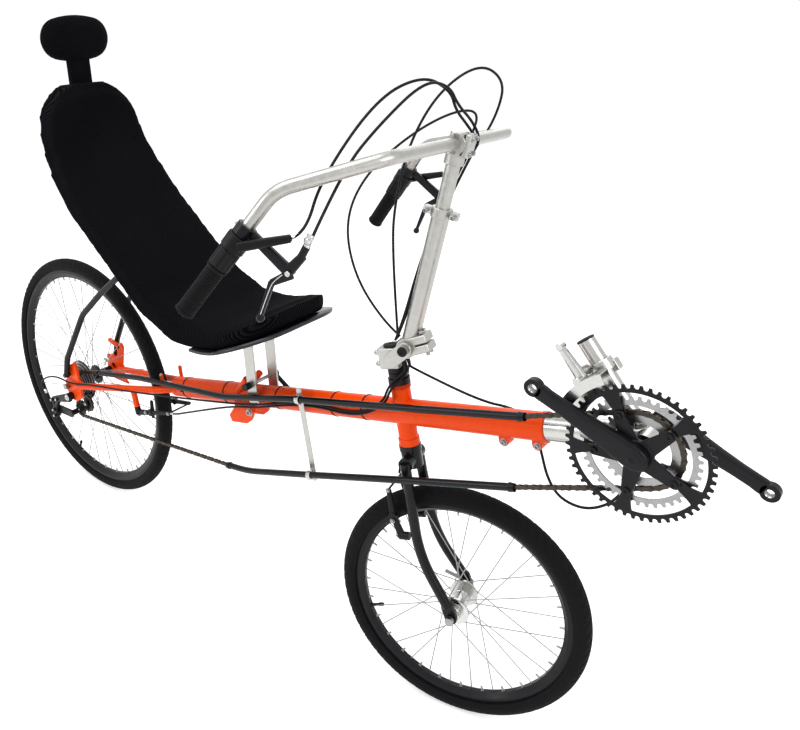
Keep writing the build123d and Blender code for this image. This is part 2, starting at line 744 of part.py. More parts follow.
def on_grip(along, left):
    start, end = from_bar(elbow, left), from_bar(grip_end, left)
    return end + (start - end).normalized() * (grip_span - along)


with BuildPart() as grips:
    for left in (-1, 1):
        rod(on_grip(62, left), on_grip(grip_span, left), grip_radius, bar_radius)
save_turned(grips, "grips")

with BuildPart() as shifters:
    for left in (-1, 1):
        rod(on_grip(6, left), on_grip(61, left), 19, bar_radius)
save_turned(shifters, "shifters")

with BuildPart() as brake_levers:
    for left in (-1, 1):
        out = Vector(0.826, 0, -0.521)
        rod(on_grip(-14, left), on_grip(4, left), 17, bar_radius)
        rod(on_grip(-5, left) + out * 14, on_grip(-5, left) + out * 48, 7)
        rod(on_grip(-5, left) + out * 48, on_grip(96, left) + out * 46, 5)
save_turned(brake_levers, "brake_levers")
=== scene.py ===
import bpy
import bmesh
import json
import numpy as np
from math import radians, degrees, sin, cos, asin, atan2, hypot, pi, sqrt
from mathutils import Vector, Matrix


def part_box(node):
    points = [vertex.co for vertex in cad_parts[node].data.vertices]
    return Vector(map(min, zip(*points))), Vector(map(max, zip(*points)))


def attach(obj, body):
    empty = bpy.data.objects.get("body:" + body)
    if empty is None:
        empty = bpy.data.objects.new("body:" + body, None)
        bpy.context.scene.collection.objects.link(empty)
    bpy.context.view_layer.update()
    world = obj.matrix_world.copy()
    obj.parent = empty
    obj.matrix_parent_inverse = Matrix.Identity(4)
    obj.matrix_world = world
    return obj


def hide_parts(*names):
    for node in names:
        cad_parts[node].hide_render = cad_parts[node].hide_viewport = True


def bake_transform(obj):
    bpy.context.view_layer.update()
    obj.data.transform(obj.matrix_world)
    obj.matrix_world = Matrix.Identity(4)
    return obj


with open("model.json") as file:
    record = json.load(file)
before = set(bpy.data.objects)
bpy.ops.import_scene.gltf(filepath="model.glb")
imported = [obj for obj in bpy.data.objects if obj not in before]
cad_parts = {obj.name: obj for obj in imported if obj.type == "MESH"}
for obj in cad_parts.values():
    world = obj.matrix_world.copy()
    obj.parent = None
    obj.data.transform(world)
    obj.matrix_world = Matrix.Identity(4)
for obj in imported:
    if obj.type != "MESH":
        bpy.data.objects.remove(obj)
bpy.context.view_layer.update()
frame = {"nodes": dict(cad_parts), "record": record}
cadNodes = frame["nodes"]
print("frame loaded:", len(cadNodes), "nodes")

# each finish, with how dark its mottle goes, its roughness from and to, and its grain's scale
# and bump; the small parts' own finishes, at the end, name the slot that they belong to
finishFacts = ("colour", "dark", "rough", "metal", "specular", "coat", "scale", "bump", "slot")
finishes = {row[0]: dict(zip(finishFacts, row[1:])) for row in (
    ("orange_paint", (0.94, 0.070, 0.0008), 0.93, (0.26, 0.34), 0, 0.14, 0.06, 60, 0.02),
    ("black_paint", (0.006, 0.006, 0.007), 0.8, (0.20, 0.30), 0, 0.16, 0.08, 70, 0.02),
    ("silver_alloy", (0.47, 0.465, 0.44), 0.88, (0.30, 0.42), 1, 0.5, 0, 90, 0.03),
    ("polished_alloy", (0.52, 0.52, 0.50), 0.90, (0.17, 0.28), 1, 0.5, 0, 80, 0.015),
    ("black_alloy", (0.007, 0.007, 0.009), 0.75, (0.30, 0.44), 0, 0.16, 0.04, 80, 0.03),
    ("steel", (0.34, 0.34, 0.34), 0.80, (0.24, 0.38), 1, 0.5, 0, 90, 0.02),
    ("chain_steel", (0.075, 0.064, 0.052), 0.6, (0.34, 0.50), 1, 0.5, 0, 140, 0.05),
    ("tyre_rubber", (0.006, 0.006, 0.007), 0.75, (0.66, 0.84), 0, 0.10, 0, 160, 0.08),
    ("grip_rubber", (0.005, 0.005, 0.006), 0.8, (0.55, 0.72), 0, 0.12, 0, 220, 0.10),
    ("black_plastic", (0.005, 0.005, 0.006), 0.8, (0.36, 0.50), 0, 0.16, 0, 180, 0.05),
    ("mesh_fabric", (0.0022, 0.0022, 0.003), 0.4, (0.86, 0.98), 0, 0.02, 0, 150, 0.2),
    ("shell_black", (0.010, 0.011, 0.015), 0.8, (0.22, 0.36), 0, 0.3, 0.15, 40, 0.02),
    ("tubeBlack", (0.003, 0.004, 0.007), 0.8, (0.20, 0.32), 0, 0.2, 0.04, 60, 0.02,
     "black_plastic"),
    ("padRubber", (0.014, 0.014, 0.014), 0.8, (0.6, 0.8), 0, 0.2, 0, 200, 0.1, "grip_rubber"),
    ("machined", (0.60, 0.60, 0.59), 0.85, (0.16, 0.30), 1, 0.5, 0, 200, 0.02,
     "polished_alloy"),
    ("softBlack", (0.008, 0.008, 0.009), 0.8, (0.5, 0.7), 0, 0.2, 0, 150, 0.05,
     "black_plastic"),
)}
# knitted mesh: rounded holes in rows, metres apart, and how cloudy its colour is
knit = dict(pitch=dict(weaveAcross=0.0052, weaveAlong=0.0046), hole=(0.0007, 0.0007, 0.0009),
            thread=(0.0105, 0.0105, 0.0135), rough=(0.95, 0.7), depth=0.9, lift=0.0009,
            cloudScale=9.0, cloudDark=(0.5, 0.5, 0.5), cloudShare=0.6, swing=(-0.45, 0.45),
            mixed=(0.25, 0.75))
grain = dict(finer=12, depth=4, lift=0.0004)
coatRough = 0.06
white = (1, 1, 1)


def addNode(tree, kind, inputs=(), **settings):
    # each input takes a value, or the socket that is linked to it
    node = tree.nodes.new("ShaderNode" + kind)
    for key, value in settings.items():
        setattr(node, key, value)
    for key, value in dict(inputs).items():
        if isinstance(value, bpy.types.NodeSocket):
            tree.links.new(value, node.inputs[key])
        else:
            node.inputs[key].default_value = value
    return node


def newMaterial(name, look):
    mat = bpy.data.materials.new(name)
    mat.use_nodes = True
    shader = mat.node_tree.nodes["Principled BSDF"]
    for key, value in {"Base Color": (*look["colour"], 1), "Roughness": look["rough"][0],
                       "Metallic": look["metal"], "Coat Weight": look["coat"],
                       "Specular IOR Level": look["specular"], "Coat Roughness": coatRough}.items():
        shader.inputs[key].default_value = value
    return mat, mat.node_tree, shader


def noiseFrom(tree, scale, detail=4.0):
    place = addNode(tree, "TexCoord").outputs["Object"]
    return addNode(tree, "TexNoise", {"Vector": place, "Scale": scale,
                                      "Detail": detail}).outputs["Fac"]


def rangeOf(tree, value, low, high, fromLow=0.3, fromHigh=0.7):
    return addNode(tree, "MapRange", {"Value": value, "From Min": fromLow, "From Max": fromHigh,
                                      "To Min": low, "To Max": high}).outputs["Result"]


def tint(tree, value, dark, light, fromLow=0.3, fromHigh=0.7):
    ramp = addNode(tree, "ValToRGB", {"Fac": value})
    for stop, at, colour in zip(ramp.color_ramp.elements, (fromLow, fromHigh), (dark, light)):
        stop.position = at
        stop.color = (*colour, 1)
    return ramp.outputs["Color"]


def plainFinish(tree, look):
    mottle = noiseFrom(tree, look["scale"])
    dark = [part * look["dark"] for part in look["colour"]]
    return (tint(tree, mottle, dark, look["colour"]), rangeOf(tree, mottle, *look["rough"]),
            noiseFrom(tree, look["scale"] * grain["finer"], 2.0), look["bump"] * grain["depth"],
            grain["lift"])


def knitFinish(tree, look):
    waves = []
    for attribute, pitch in knit["pitch"].items():
        source = addNode(tree, "Attribute", attribute_name=attribute).outputs["Fac"]
        turn = addNode(tree, "Math", {0: source, 1: 2 * pi / pitch}, operation="MULTIPLY")
        waves.append(addNode(tree, "Math", {0: turn.outputs[0]}, operation="SINE").outputs[0])
    cell = addNode(tree, "Math", dict(enumerate(waves)), operation="MULTIPLY")
    holes = rangeOf(tree, cell.outputs[0], 0.0, 1.0, *knit["swing"])
    mix = addNode(tree, "Mix", {
        "Factor": knit["cloudShare"],
        "A": tint(tree, holes, knit["hole"], knit["thread"], *knit["mixed"]),
        "B": tint(tree, noiseFrom(tree, knit["cloudScale"]), knit["cloudDark"], white)},
        data_type="RGBA", blend_type="MULTIPLY")
    return (mix.outputs["Result"], rangeOf(tree, holes, *knit["rough"]), holes, knit["depth"],
            knit["lift"])


def makeFinish(name, look, nodesOf=plainFinish):
    mat, tree, shader = newMaterial(name, look)
    colour, rough, height, strength, distance = nodesOf(tree, look)
    bump = addNode(tree, "Bump", {"Height": height, "Strength": strength, "Distance": distance})
    for key, socket in (("Base Color", colour), ("Roughness", rough),
                        ("Normal", bump.outputs["Normal"])):
        tree.links.new(socket, shader.inputs[key])
    return mat


materials = {name: makeFinish(name, look) for name, look in finishes.items()}
finishes["knitMesh"] = dict(finishes["mesh_fabric"], slot="mesh_fabric")
materials["knitMesh"] = makeFinish("knitMesh", finishes["knitMesh"], knitFinish)
nodeFinish = {"upper_chain_tube": "tubeBlack", "lower_chain_tube": "tubeBlack"}
for subpart in frame["record"]["subparts"]:
    worn = cadNodes[subpart["node"]].data.materials
    worn.clear()
    worn.append(materials[nodeFinish.get(subpart["node"], subpart["material_slot"])])
print("materials ready:", len(materials))

# where things are, in millimetres and degrees: ahead of the rear axle and up from the floor
plan = dict(seatAhead=590, seatHeight=722, wheelbase=1205, rearRadius=346, frontRadius=250,
            frameRise=14.9, headAngle=76, forkRake=50, steered=13.3, pivotHeight=762,
            pivotAhead=33, postLean=8.6, barUp=381, boomReach=1551, crankAngle=157.8,
            stemUp=112)
milli = 0.001
forward, acrossY, upright = Vector((1, 0, 0)), Vector((0, 1, 0)), Vector((0, 0, 1))


def leaning(angle):
    return Vector((cos(radians(angle)), 0, sin(radians(angle))))


def placer(origin, first, second):
    # gives points by their millimetres along two directions, and to the left
    def at(along, other=0, left=0):
        return origin + (first * along + second * other + acrossY * left) * milli
    return at


side = placer(Vector((-plan["seatAhead"], 0, -plan["seatHeight"])) * milli, forward, upright)
rise, riseUp = leaning(plan["frameRise"]), leaning(plan["frameRise"] + 90)
steerDir, steerOut = leaning(180 - plan["headAngle"]), leaning(90 - plan["headAngle"])
postDir, postOut = leaning(90 - plan["postLean"]), leaning(-plan["postLean"])
rearAxle = side(0, plan["rearRadius"])
frontAxle = side(plan["wheelbase"], plan["frontRadius"])
steerFoot = frontAxle - steerOut * plan["forkRake"] * milli
headCentre = steerFoot + steerDir * ((rearAxle - steerFoot).dot(riseUp) / steerDir.dot(riseUp))
axleUp = (frontAxle - headCentre).dot(steerDir) / milli
onFrame = placer(rearAxle, rise, riseUp)
atRear = placer(rearAxle, forward, upright)
onSteer = placer(headCentre, steerDir, steerOut)
bracket = onFrame(plan["boomReach"])
atBracket = placer(bracket, forward, upright)
crankArm, crankSquare = leaning(plan["crankAngle"]), leaning(plan["crankAngle"] + 90)
onCrank = placer(bracket, crankArm, crankSquare)
pivot = onSteer((side(0, plan["pivotHeight"]) - headCentre).z / steerDir.z / milli,
                plan["pivotAhead"])
pivot.z = side(0, plan["pivotHeight"]).z
onPost = placer(pivot, postDir, postOut)
barCentre = onPost(plan["barUp"])
lugDir = (onSteer(142, 91) - onSteer(132.7, 47.2)).normalized()
lugUp = lugDir.cross(acrossY)
onLug = placer(pivot, lugDir, lugUp)
steerTurn = (Matrix.Translation(headCentre)
             @ Matrix.Rotation(radians(plan["steered"]), 4, steerDir)
             @ Matrix.Translation(-headCentre))
steeredBodies = ("steering", "front_wheel", "tiller")   # made straight, then turned


def fromBar(ahead, left, up):
    return barCentre + Vector((ahead, left, up)) * milli


def acrossAt(point, left):
    return Vector((point.x, left * milli, point.z))


def facing(at, axis, across=None):
    # a place whose Z runs along axis, and X as near across as it can
    z = axis.normalized()
    hint = across if across is not None else (acrossY if abs(z.y) < 0.9 else forward)
    x = (hint - z * hint.dot(z)).normalized()
    return Matrix.Translation(at) @ Matrix((x, z.cross(x), z)).transposed().to_4x4()


def inPlace(place, x, y, z):
    return place @ (Vector((x, y, z)) * milli)


def turned(place, angle):
    return place @ Matrix.Rotation(radians(angle), 4, "Z")


def moved(place, x, z=0):
    return place @ Matrix.Translation(Vector((x, 0, z)) * milli)


def tipped(place):
    return place @ Matrix.Rotation(radians(90), 4, "Y")


def closeBetween(bm, first, second):
    if len(first) == 1 and len(second) == 1:
        return
    count = max(len(first), len(second))
    for i in range(count):
        j = (i + 1) % count
        if len(first) == 1:
            bm.faces.new((first[0], second[i], second[j]))
        elif len(second) == 1:
            bm.faces.new((first[j], first[i], second[0]))
        else:
            bm.faces.new((first[i], second[i], second[j], first[j]))


def skin(bm, rings, closed=False, caps=True):
    # joins each ring of points to the next, then shuts the ends or joins them up
    rings = [[bm.verts.new(point) for point in ring] for ring in rings]
    for first, second in zip(rings, rings[1:]):
        closeBetween(bm, first, second)
    if closed:
        closeBetween(bm, rings[-1], rings[0])
    elif caps:
        bm.faces.new(rings[0])
        bm.faces.new(rings[-1][::-1])


def lathe(bm, place, profile, sides=24):
    # profile is (radius, height) pairs in millimetres; a zero radius closes an end,
    # and a profile that doesn't end on the axis is joined back to its start
    turns = [2 * pi * i / sides for i in range(sides)]
    loops = [[inPlace(place, radius * cos(turn), radius * sin(turn), height)
              for turn in (turns if radius > 0 else (0,))] for radius, height in profile]
    skin(bm, loops, len(loops[0]) > 1 and len(loops[-1]) > 1, False)


def disc(radius, low, high):
    return (0, low), (radius, low), (radius, high), (0, high)


def band(bore, radius, tall, ease):
    return ((bore, 0), (radius - ease, 0), (radius, ease), (radius, tall - ease),
            (radius - ease, tall), (bore, tall))


def prism(bm, place, outline, low, high, bevel=0.0):
    # outline in millimetres in the place's X and Y, from low to high along Z, edges eased
    middleX = sum(x for x, y in outline) / len(outline)
    middleY = sum(y for x, y in outline) / len(outline)
    levels = ((0, low), (0, high))
    if bevel:
        levels = ((bevel, low), (0, low + bevel), (0, high - bevel), (bevel, high))
    loops = []
    for shrink, height in levels:
        loops.append([])
        for x, y in outline:
            share = max(0.0, 1 - shrink / (hypot(x - middleX, y - middleY) or 1))
            loops[-1].append(inPlace(place, middleX + (x - middleX) * share,
                                     middleY + (y - middleY) * share, height))
    skin(bm, loops)


def roundedOutline(width, height, radius, steps=5):
    outline = []
    for cornerX, cornerY, start in ((1, 1, 0), (-1, 1, 90), (-1, -1, 180), (1, -1, 270)):
        for i in range(steps + 1):
            angle = radians(start + 90 * i / steps)
            outline.append((cornerX * (width / 2 - radius) + radius * cos(angle),
                            cornerY * (height / 2 - radius) + radius * sin(angle)))
    return outline


def arcOutline(centre, radius, first, last, step):
    return [(centre + radius * cos(radians(angle)), radius * sin(radians(angle)))
            for angle in range(first, last + 1, step)]


def smoothLine(points, spread=8):
    # the points that a smooth spline through these corners follows
    curve = bpy.data.curves.new("line", "CURVE")
    curve.dimensions = "3D"
    curve.resolution_u = spread
    spline = curve.splines.new("NURBS")
    spline.points.add(len(points) - 1)
    for knot, point in zip(spline.points, points):
        knot.co = (*point, 1)
    spline.order_u = 3
    spline.use_endpoint_u = True
    holder = bpy.data.objects.new("line", curve)
    bpy.context.scene.collection.objects.link(holder)
    bpy.context.view_layer.update()
    mesh = bpy.data.meshes.new_from_object(holder)
    line = [vertex.co.copy() for vertex in mesh.vertices]
    bpy.data.objects.remove(holder)
    bpy.data.curves.remove(curve)
    bpy.data.meshes.remove(mesh)
    return line


def tube(bm, line, radius, sides=12):
    # a tube along these points, its rings carried without twist
    beside = None
    loops = []
    for i, here in enumerate(line):
        along = (line[min(i + 1, len(line) - 1)] - line[max(i - 1, 0)]).normalized()
        beside = beside or along.orthogonal().normalized()
        beside = (beside - along * beside.dot(along)).normalized()
        up = along.cross(beside)
        loops.append([here + (beside * cos(2 * pi * j / sides) + up * sin(2 * pi * j / sides))
                      * radius * milli for j in range(sides)])
    skin(bm, loops)


def taper(bm, start, end, wide, deep, wideEnd=None, deepEnd=None, ease=1.0):
    # a bar with rounded edges, wide in the upright plane and deep across
    place = facing(start, end - start, acrossY)
    long = (end - start).length / milli
    loops = []
    for at, shrink in ((0, ease), (ease, 0), (long - ease, 0), (long, ease)):
        width = wide + ((wideEnd or wide) - wide) * at / long - 2 * shrink
        depth = deep + ((deepEnd or deep) - deep) * at / long - 2 * shrink
        loops.append([inPlace(place, x, y, at) for x, y in
                      roundedOutline(depth, width, min(width, depth) * 0.3, 4)])
    skin(bm, loops)


def rodBetween(bm, start, end, radius, sides=24, ease=0.7):
    lathe(bm, facing(start, end - start),
          band(0, radius, (end - start).length / milli, ease), sides)


def crossRod(bm, at, near, far, radius, sides=24):
    rodBetween(bm, acrossAt(at, near), acrossAt(at, far), radius, sides)


def strapBetween(bm, start, end, width, left, wall):
    # a round-ended plate on edge, from left towards the right by its wall
    along = Vector((end.x - start.x, 0, end.z - start.z))
    outline = (arcOutline(along.length / milli, width / 2, -90, 90, 15)
               + arcOutline(0, width / 2, 90, 270, 15))
    prism(bm, facing(acrossAt(start, left), -acrossY, along), outline, 0, wall,
          min(0.6, wall * 0.3))


def sidePlate(bm, corners, right, wall):
    # an upright plate from its left face towards the right, through world corners
    place = facing(acrossAt(corners[0], right), -acrossY, forward)
    local = [place.inverted() @ acrossAt(corner, right) for corner in corners]
    prism(bm, place, [(corner.x / milli, corner.y / milli) for corner in local], 0, wall)


def blockAt(bm, centre, heading, along, across, tall, radius=4, ease=1.2):
    prism(bm, facing(centre, heading, acrossY), roundedOutline(across, tall, radius),
          -along / 2, along / 2, ease)


def capBolt(bm, at, axis, radius, tall, washer=0):
    # a socket head on its washer, standing on the surface at this point
    place = facing(at, axis)
    foot = -0.5
    if washer:
        lathe(bm, place, [(0, -0.5), (washer, -0.5), (washer, 0.6), (washer - 0.4, 0.9),
                          (0, 0.9)], 20)
        foot = 0.7
    lathe(bm, place, [(0, foot), (radius, foot), (radius, tall - 0.6), (radius - 0.6, tall),
                      (radius * 0.56, tall), (radius * 0.5, tall - 0.3),
                      (radius * 0.5, tall * 0.45), (0, tall * 0.45)], 20)


def hexBolt(bm, at, axis, radius, tall):
    place = facing(at, axis)
    lathe(bm, place, disc(radius * 1.25, -0.5, 0.8), 20)
    lathe(bm, place, [(0, 0.4), (radius, 0.4), (radius, tall - 0.6), (radius - 0.8, tall),
                      (0, tall)], 6)


def finishPiece(name, bm, finish, body, *replaced, sharp=38):
    bmesh.ops.recalc_face_normals(bm, faces=bm.faces)
    mesh = bpy.data.meshes.new(name)
    bm.to_mesh(mesh)
    bm.free()
    if body in steeredBodies:
        mesh.transform(steerTurn)
    mesh.polygons.foreach_set("use_smooth", [True] * len(mesh.polygons))
    mesh.set_sharp_from_angle(angle=radians(sharp))
    mesh.materials.append(materials[finish])
    piece = bpy.data.objects.new(name, mesh)
    bpy.context.scene.collection.objects.link(piece)
    if body:
        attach(piece, body)
    if replaced:
        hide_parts(*replaced)
    return piece


def build(name, finish, body, forms, *replaced, sharp=38):
    bm = bmesh.new()
    for make, *facts in forms:
        make(bm, *facts)
    return finishPiece(name, bm, finish, body, *replaced, sharp=sharp)


def makes(name, finish, body, *replaced, sharp=38):
    # the function below it builds one piece
    return lambda make: build(name, finish, body, [(make,)], *replaced, sharp=sharp)


# cranks and rings: toothed rings on tabs, tapered arms with open eyes, a five-armed spider
teeth = dict(pitch=12.7, tip=3.2, valley=3.9, samples=12, root=5.2)
rings = {
    "innerRing": dict(node="inner_chainring", teeth=30, y=43, inner=44, wall=2, reach=37,
                      half=6, flare=8, finish="steel"),
    "middleRing": dict(node="middle_chainring", teeth=42, y=50, inner=74, wall=2.4, reach=62,
                       half=6, flare=8.6, finish="steel"),
    "outerRing": dict(node="outer_chainring", teeth=52, y=57, inner=96, wall=3, reach=62,
                      half=5.5, flare=8.6, finish="black_alloy"),
}


def ringInside(ring, angle):
    # the inner edge's radius: a tab at each of five arms, flaring into the ring
    away = (degrees(angle) - 36) % 72
    offset = ring["reach"] * radians(min(away, 72 - away))
    if offset < ring["half"]:
        return ring["reach"] - sqrt(ring["half"] ** 2 - offset ** 2)
    if offset < ring["flare"]:
        share = (offset - ring["half"]) / (ring["flare"] - ring["half"])
        return ring["reach"] + (ring["inner"] - ring["reach"]) * share ** 0.6
    return ring["inner"]


def buildRing(name, ring):
    root = ring["teeth"] * teeth["pitch"] / (2 * pi)
    samples = teeth["samples"]
    half = ring["wall"] / 2
    loops = []
    for i in range(ring["teeth"] * samples):
        angle = 2 * pi * i / (ring["teeth"] * samples)
        offset = abs((i % samples) / samples - 0.5) * teeth["pitch"]
        outside = root + teeth["tip"]
        if offset < teeth["valley"]:
            outside = min(outside, root + 0.4 - sqrt(teeth["valley"] ** 2 - offset ** 2))
        inside = ringInside(ring, angle)
        thin = half * (0.45 if outside > root else 0.9)
        neck = max(root - teeth["root"], inside + 1)
        loops.append([onCrank(cos(angle) * reach, sin(angle) * reach, y - ring["y"])
                      for reach, y in ((inside, -half), (neck, -half), (outside, -thin),
                                       (outside, thin), (neck, half), (inside, half))])
    build(name, ring["finish"], "crankset", [(skin, loops, True)], ring["node"], sharp=30)


for name, ring in rings.items():
    buildRing(name, ring)

# arm is reach, half width, inner and outer side; eye and hub are profiles
cranks = dict(length=170, eyeY=79, spindle=(-69, 69, 11.9), spiderY=58.6, spiderWall=5,
              boltCircle=62, boltY=64.2, tab=8.5, smallBolts=37, smallBolt=(5.4, -14.4, 0.5),
              arm=((-21.5, 6, 62, 76), (-17, 12.5, 61.4, 76.8), (-9, 18, 61, 77),
                   (0, 20, 61, 77), (35, 18.6, 62.6, 78), (60, 16.2, 64, 80),
                   (85, 14, 66.4, 81.8), (120, 12.3, 69.6, 84.2), (145, 12.3, 72, 86),
                   (156, 13, 72, 86), (161.5, 12.6, 72, 86)),
              eye=((6.9, -7), (13.9, -7), (14.6, -6.2), (14.6, 6.2), (13.9, 7), (6.9, 7)),
              hub=((0, -2), (25, -2), (26, 0), (26, 4), (24, 6), (0, 6)))


@makes("crankArms", "black_alloy", "crankset", "cranks", sharp=34)
def crankArms(bm):
    crossRod(bm, bracket, *cranks["spindle"], 32)
    for left in (-1, 1):
        skin(bm, [[onCrank(-left * reach, y, left * (x + (inner + outer) / 2))
                   for x, y in roundedOutline(outer - inner, 2 * half,
                                              min(outer - inner, 2 * half) * 0.34)]
                  for reach, half, inner, outer in cranks["arm"]])
        lathe(bm, facing(onCrank(-left * cranks["length"], 0, left * cranks["eyeY"]),
                         acrossY * left), cranks["eye"], 36)
    spider = facing(onCrank(0, 0, -cranks["spiderY"]), -acrossY, crankArm)
    lathe(bm, spider, cranks["hub"], 48)
    reach, tab = cranks["boltCircle"], cranks["tab"]
    outline = [(8, -15), (30, -12.5), (reach, -tab), *arcOutline(reach, tab, -70, 70, 20),
               (reach, tab), (30, 12.5), (8, 15)]
    for i in range(5):
        spot = turned(spider, 36 + 72 * i)
        prism(bm, spot, outline, 0, cranks["spiderWall"], 1.0)
        lathe(bm, moved(spot, cranks["smallBolts"]), disc(*cranks["smallBolt"]), 20)


# derailleurs: points are ahead of and up from the axle or the bracket
mech = dict(y=-73.7, hanger=(14, -26), links=((-44, -53), (-70, -63), (-66, -94), (-64, -112)),
            body=((12, -30), (-73, -64)), cage=(0, -88), cageY=(-35.5, -48.5),
            jockeys=((38, -54), (4, -84)), jockeyY=(-52, -34), jockeyTeeth=11, behind=18,
            bodySize=(26, 15, 15, 13, 2), linkSize=(11, 13, 10, 12),
            tooth=((-9, 18.2), (-3, 22.2), (3, 22.2), (9, 18.2)))


@makes("rearMech", "black_alloy", "frame", "rear_derailleur")
def rearMech(bm):
    y = mech["y"]
    wheels = [atRear(*at) for at in mech["jockeys"]]
    for at in wheels:
        crossRod(bm, at, *mech["jockeyY"], 4)
    for plateY in mech["cageY"]:
        strapBetween(bm, *wheels, 20, plateY, 2)
    hanger, cage = atRear(*mech["hanger"]), atRear(*mech["cage"])
    crossRod(bm, hanger, -65.5, y - mech["behind"], 5)
    crossRod(bm, hanger, y, y - mech["behind"], 11, 32)
    taper(bm, *[atRear(*at, y - 9) for at in mech["body"]], *mech["bodySize"])
    links = [atRear(*at, y - 9) for at in mech["links"]]
    for i in (0, 1):
        taper(bm, links[i], links[i + 2], *mech["linkSize"])
    strapBetween(bm, links[3], links[2], 15, y - 2, 13)
    strapBetween(bm, links[2], cage, 22, y + 1, 6)
    crossRod(bm, cage, y - 4, -49, 8)
    for at in links:
        crossRod(bm, at, y + 2, y - 20, 5)


@makes("jockeyWheels", "black_plastic", "frame")
def jockeyWheels(bm):
    outline = []
    for i in range(mech["jockeyTeeth"]):
        for angle, reach in mech["tooth"]:
            turn = radians(i * 360 / mech["jockeyTeeth"] + angle)
            outline.append((reach * cos(turn), reach * sin(turn)))
    for at in mech["jockeys"]:
        prism(bm, facing(atRear(*at, -43), acrossY), outline, -1.2, 1.2)


def arcPlate(bm, y, inner, outer, first, span, wall, steps=24):
    # a plate that follows the rings, from y towards the right by its wall
    loops = []
    for i in range(steps + 1):
        angle = radians(first + span * i / steps)
        loops.append([atBracket(reach * cos(angle), reach * sin(angle), left)
                      for reach, left in ((inner, y), (outer, y), (outer, y - wall),
                                          (inner, y - wall))])
    skin(bm, loops)


# the front one's clamp points are ahead, up and left of the clamp's middle
mechPost = dict(foot=(-22, 18), top=(-118, 128), clampAt=92, lever=(-140, 124, -40),
                knuckle=(-100, 84, -42), screw=(19, 6, 8),
                cage=((-61.6, 112, 129, 122, 40, 1.5), (-35, 94, 129, 122, 44, 1.5),
                      (-35, 127, 129, 122, 20, 26.6)))
postFoot, postTop = atBracket(*mechPost["foot"]), atBracket(*mechPost["top"])


@makes("frontMech", "polished_alloy", "frame", "front_derailleur")
def frontMech(bm):
    heading = (postTop - postFoot).normalized()
    clamp = postFoot + heading * mechPost["clampAt"] * milli
    lathe(bm, facing(clamp, heading), band(14.4, 20, 18, 1), 40)
    atClamp = placer(clamp + heading * 9 * milli, forward, upright)
    blockAt(bm, atClamp(*mechPost["screw"]), heading, 18, 17, 9, 2)
    lever, knuckle = atBracket(*mechPost["lever"]), atBracket(*mechPost["knuckle"])
    taper(bm, atClamp(-14, -6, -14), atClamp(-22, -6, -36), 15, 14)
    taper(bm, lever, knuckle, 11, 9, 17, 15)
    taper(bm, atClamp(-22, -6, -34), knuckle, 12, 8)
    crossRod(bm, lever, -47, -32, 6)
    crossRod(bm, knuckle, -61.6, -34, 7)
    for plate in mechPost["cage"]:
        arcPlate(bm, *plate)


# brakes: two arms with pads each, joined by the cable between their tops
brakes = {
    "rearBrake": dict(body="frame", boss=onFrame(268, -56), bossY=45, down=-riseUp,
                      waist=onFrame(316, -64), top=onFrame(385, -61), topY=33,
                      pad=onFrame(303, -61.5), padAlong=riseUp * 0.97 + rise * 0.2, padY=25.5),
    "frontBrake": dict(body="steering", boss=onSteer(axleUp + 162, -20), bossY=44,
                       down=-steerOut, waist=onSteer(axleUp + 200, -42),
                       top=onSteer(axleUp + 252, -46), topY=31,
                       pad=onSteer(axleUp + 192.6, -42),
                       padAlong=steerOut * 0.902 + steerDir * 0.432, padY=27),
}


brakeForm = dict(bossRods=((-8, 13, 8), (12, 16, 5)), armFrom=8.5, armIn=5,
                 lowArm=(15, 9, 12, 8), highArm=(12, 8, 9, 8), padHalf=25, padSize=(10, 7, 8, 6),
                 padRod=4, wirePast=5, wireRadius=2.2)


def buildBrake(name, brake):
    bm, pads = bmesh.new(), bmesh.new()
    boss, down, pad = (brake[key] for key in ("boss", "down", "pad"))
    bossY, padY, topY = (brake[key] for key in ("bossY", "padY", "topY"))
    for left in (-1, 1):
        at = acrossAt(boss, left * bossY)
        waist = acrossAt(brake["waist"], left * (bossY - brakeForm["armIn"]))
        top = acrossAt(brake["top"], left * topY)
        for low, high, radius in brakeForm["bossRods"]:
            rodBetween(bm, at + down * low * milli, at + down * high * milli, radius)
        taper(bm, at + down * brakeForm["armFrom"] * milli, waist, *brakeForm["lowArm"])
        taper(bm, waist, top, *brakeForm["highArm"])
        crossRod(bm, waist, left * (bossY - 10.5), left * (bossY + 0.5), 8)
        crossRod(bm, pad, left * (bossY + 2), left * padY, brakeForm["padRod"])
        for way in (-1, 1):
            end = pad + brake["padAlong"] * (way * brakeForm["padHalf"]) * milli
            taper(pads, acrossAt(pad, left * padY), acrossAt(end, left * padY),
                  *brakeForm["padSize"])
    past = topY + brakeForm["wirePast"]
    crossRod(bm, brake["top"], -past, past, brakeForm["wireRadius"])
    finishPiece(name + "Arms", bm, "black_alloy", brake["body"])
    finishPiece(name + "Pads", pads, "padRubber", brake["body"])


for name, brake in brakes.items():
    buildBrake(name, brake)

# stem and bar clamp: blocks round the steerer, the post and the bar
stemUp, barUp = plan["stemUp"], plan["barUp"]
clampFacts = dict(low=259, earBolts=(-25, 25), bolts=((-13, -12), (-13, 12), (13, -12), (13, 12)),
                  stemBolts=((-11, -12), (-11, 12), (11, -12), (11, 12)))
clampLow = clampFacts["low"]

build("stemBlock", "silver_alloy", "steering", [
    (blockAt, onSteer(stemUp, -7), steerDir, 40, 42, 40, 6),
    *[(strapBetween, onSteer(stemUp - 1, 2), pivot, 29, left, 10) for left in (-19, 29)],
    *[(rodBetween, onSteer(stemUp + up, -24, left), onSteer(stemUp + up, -31, left), 5)
      for up, left in clampFacts["stemBolts"]]], "stem")

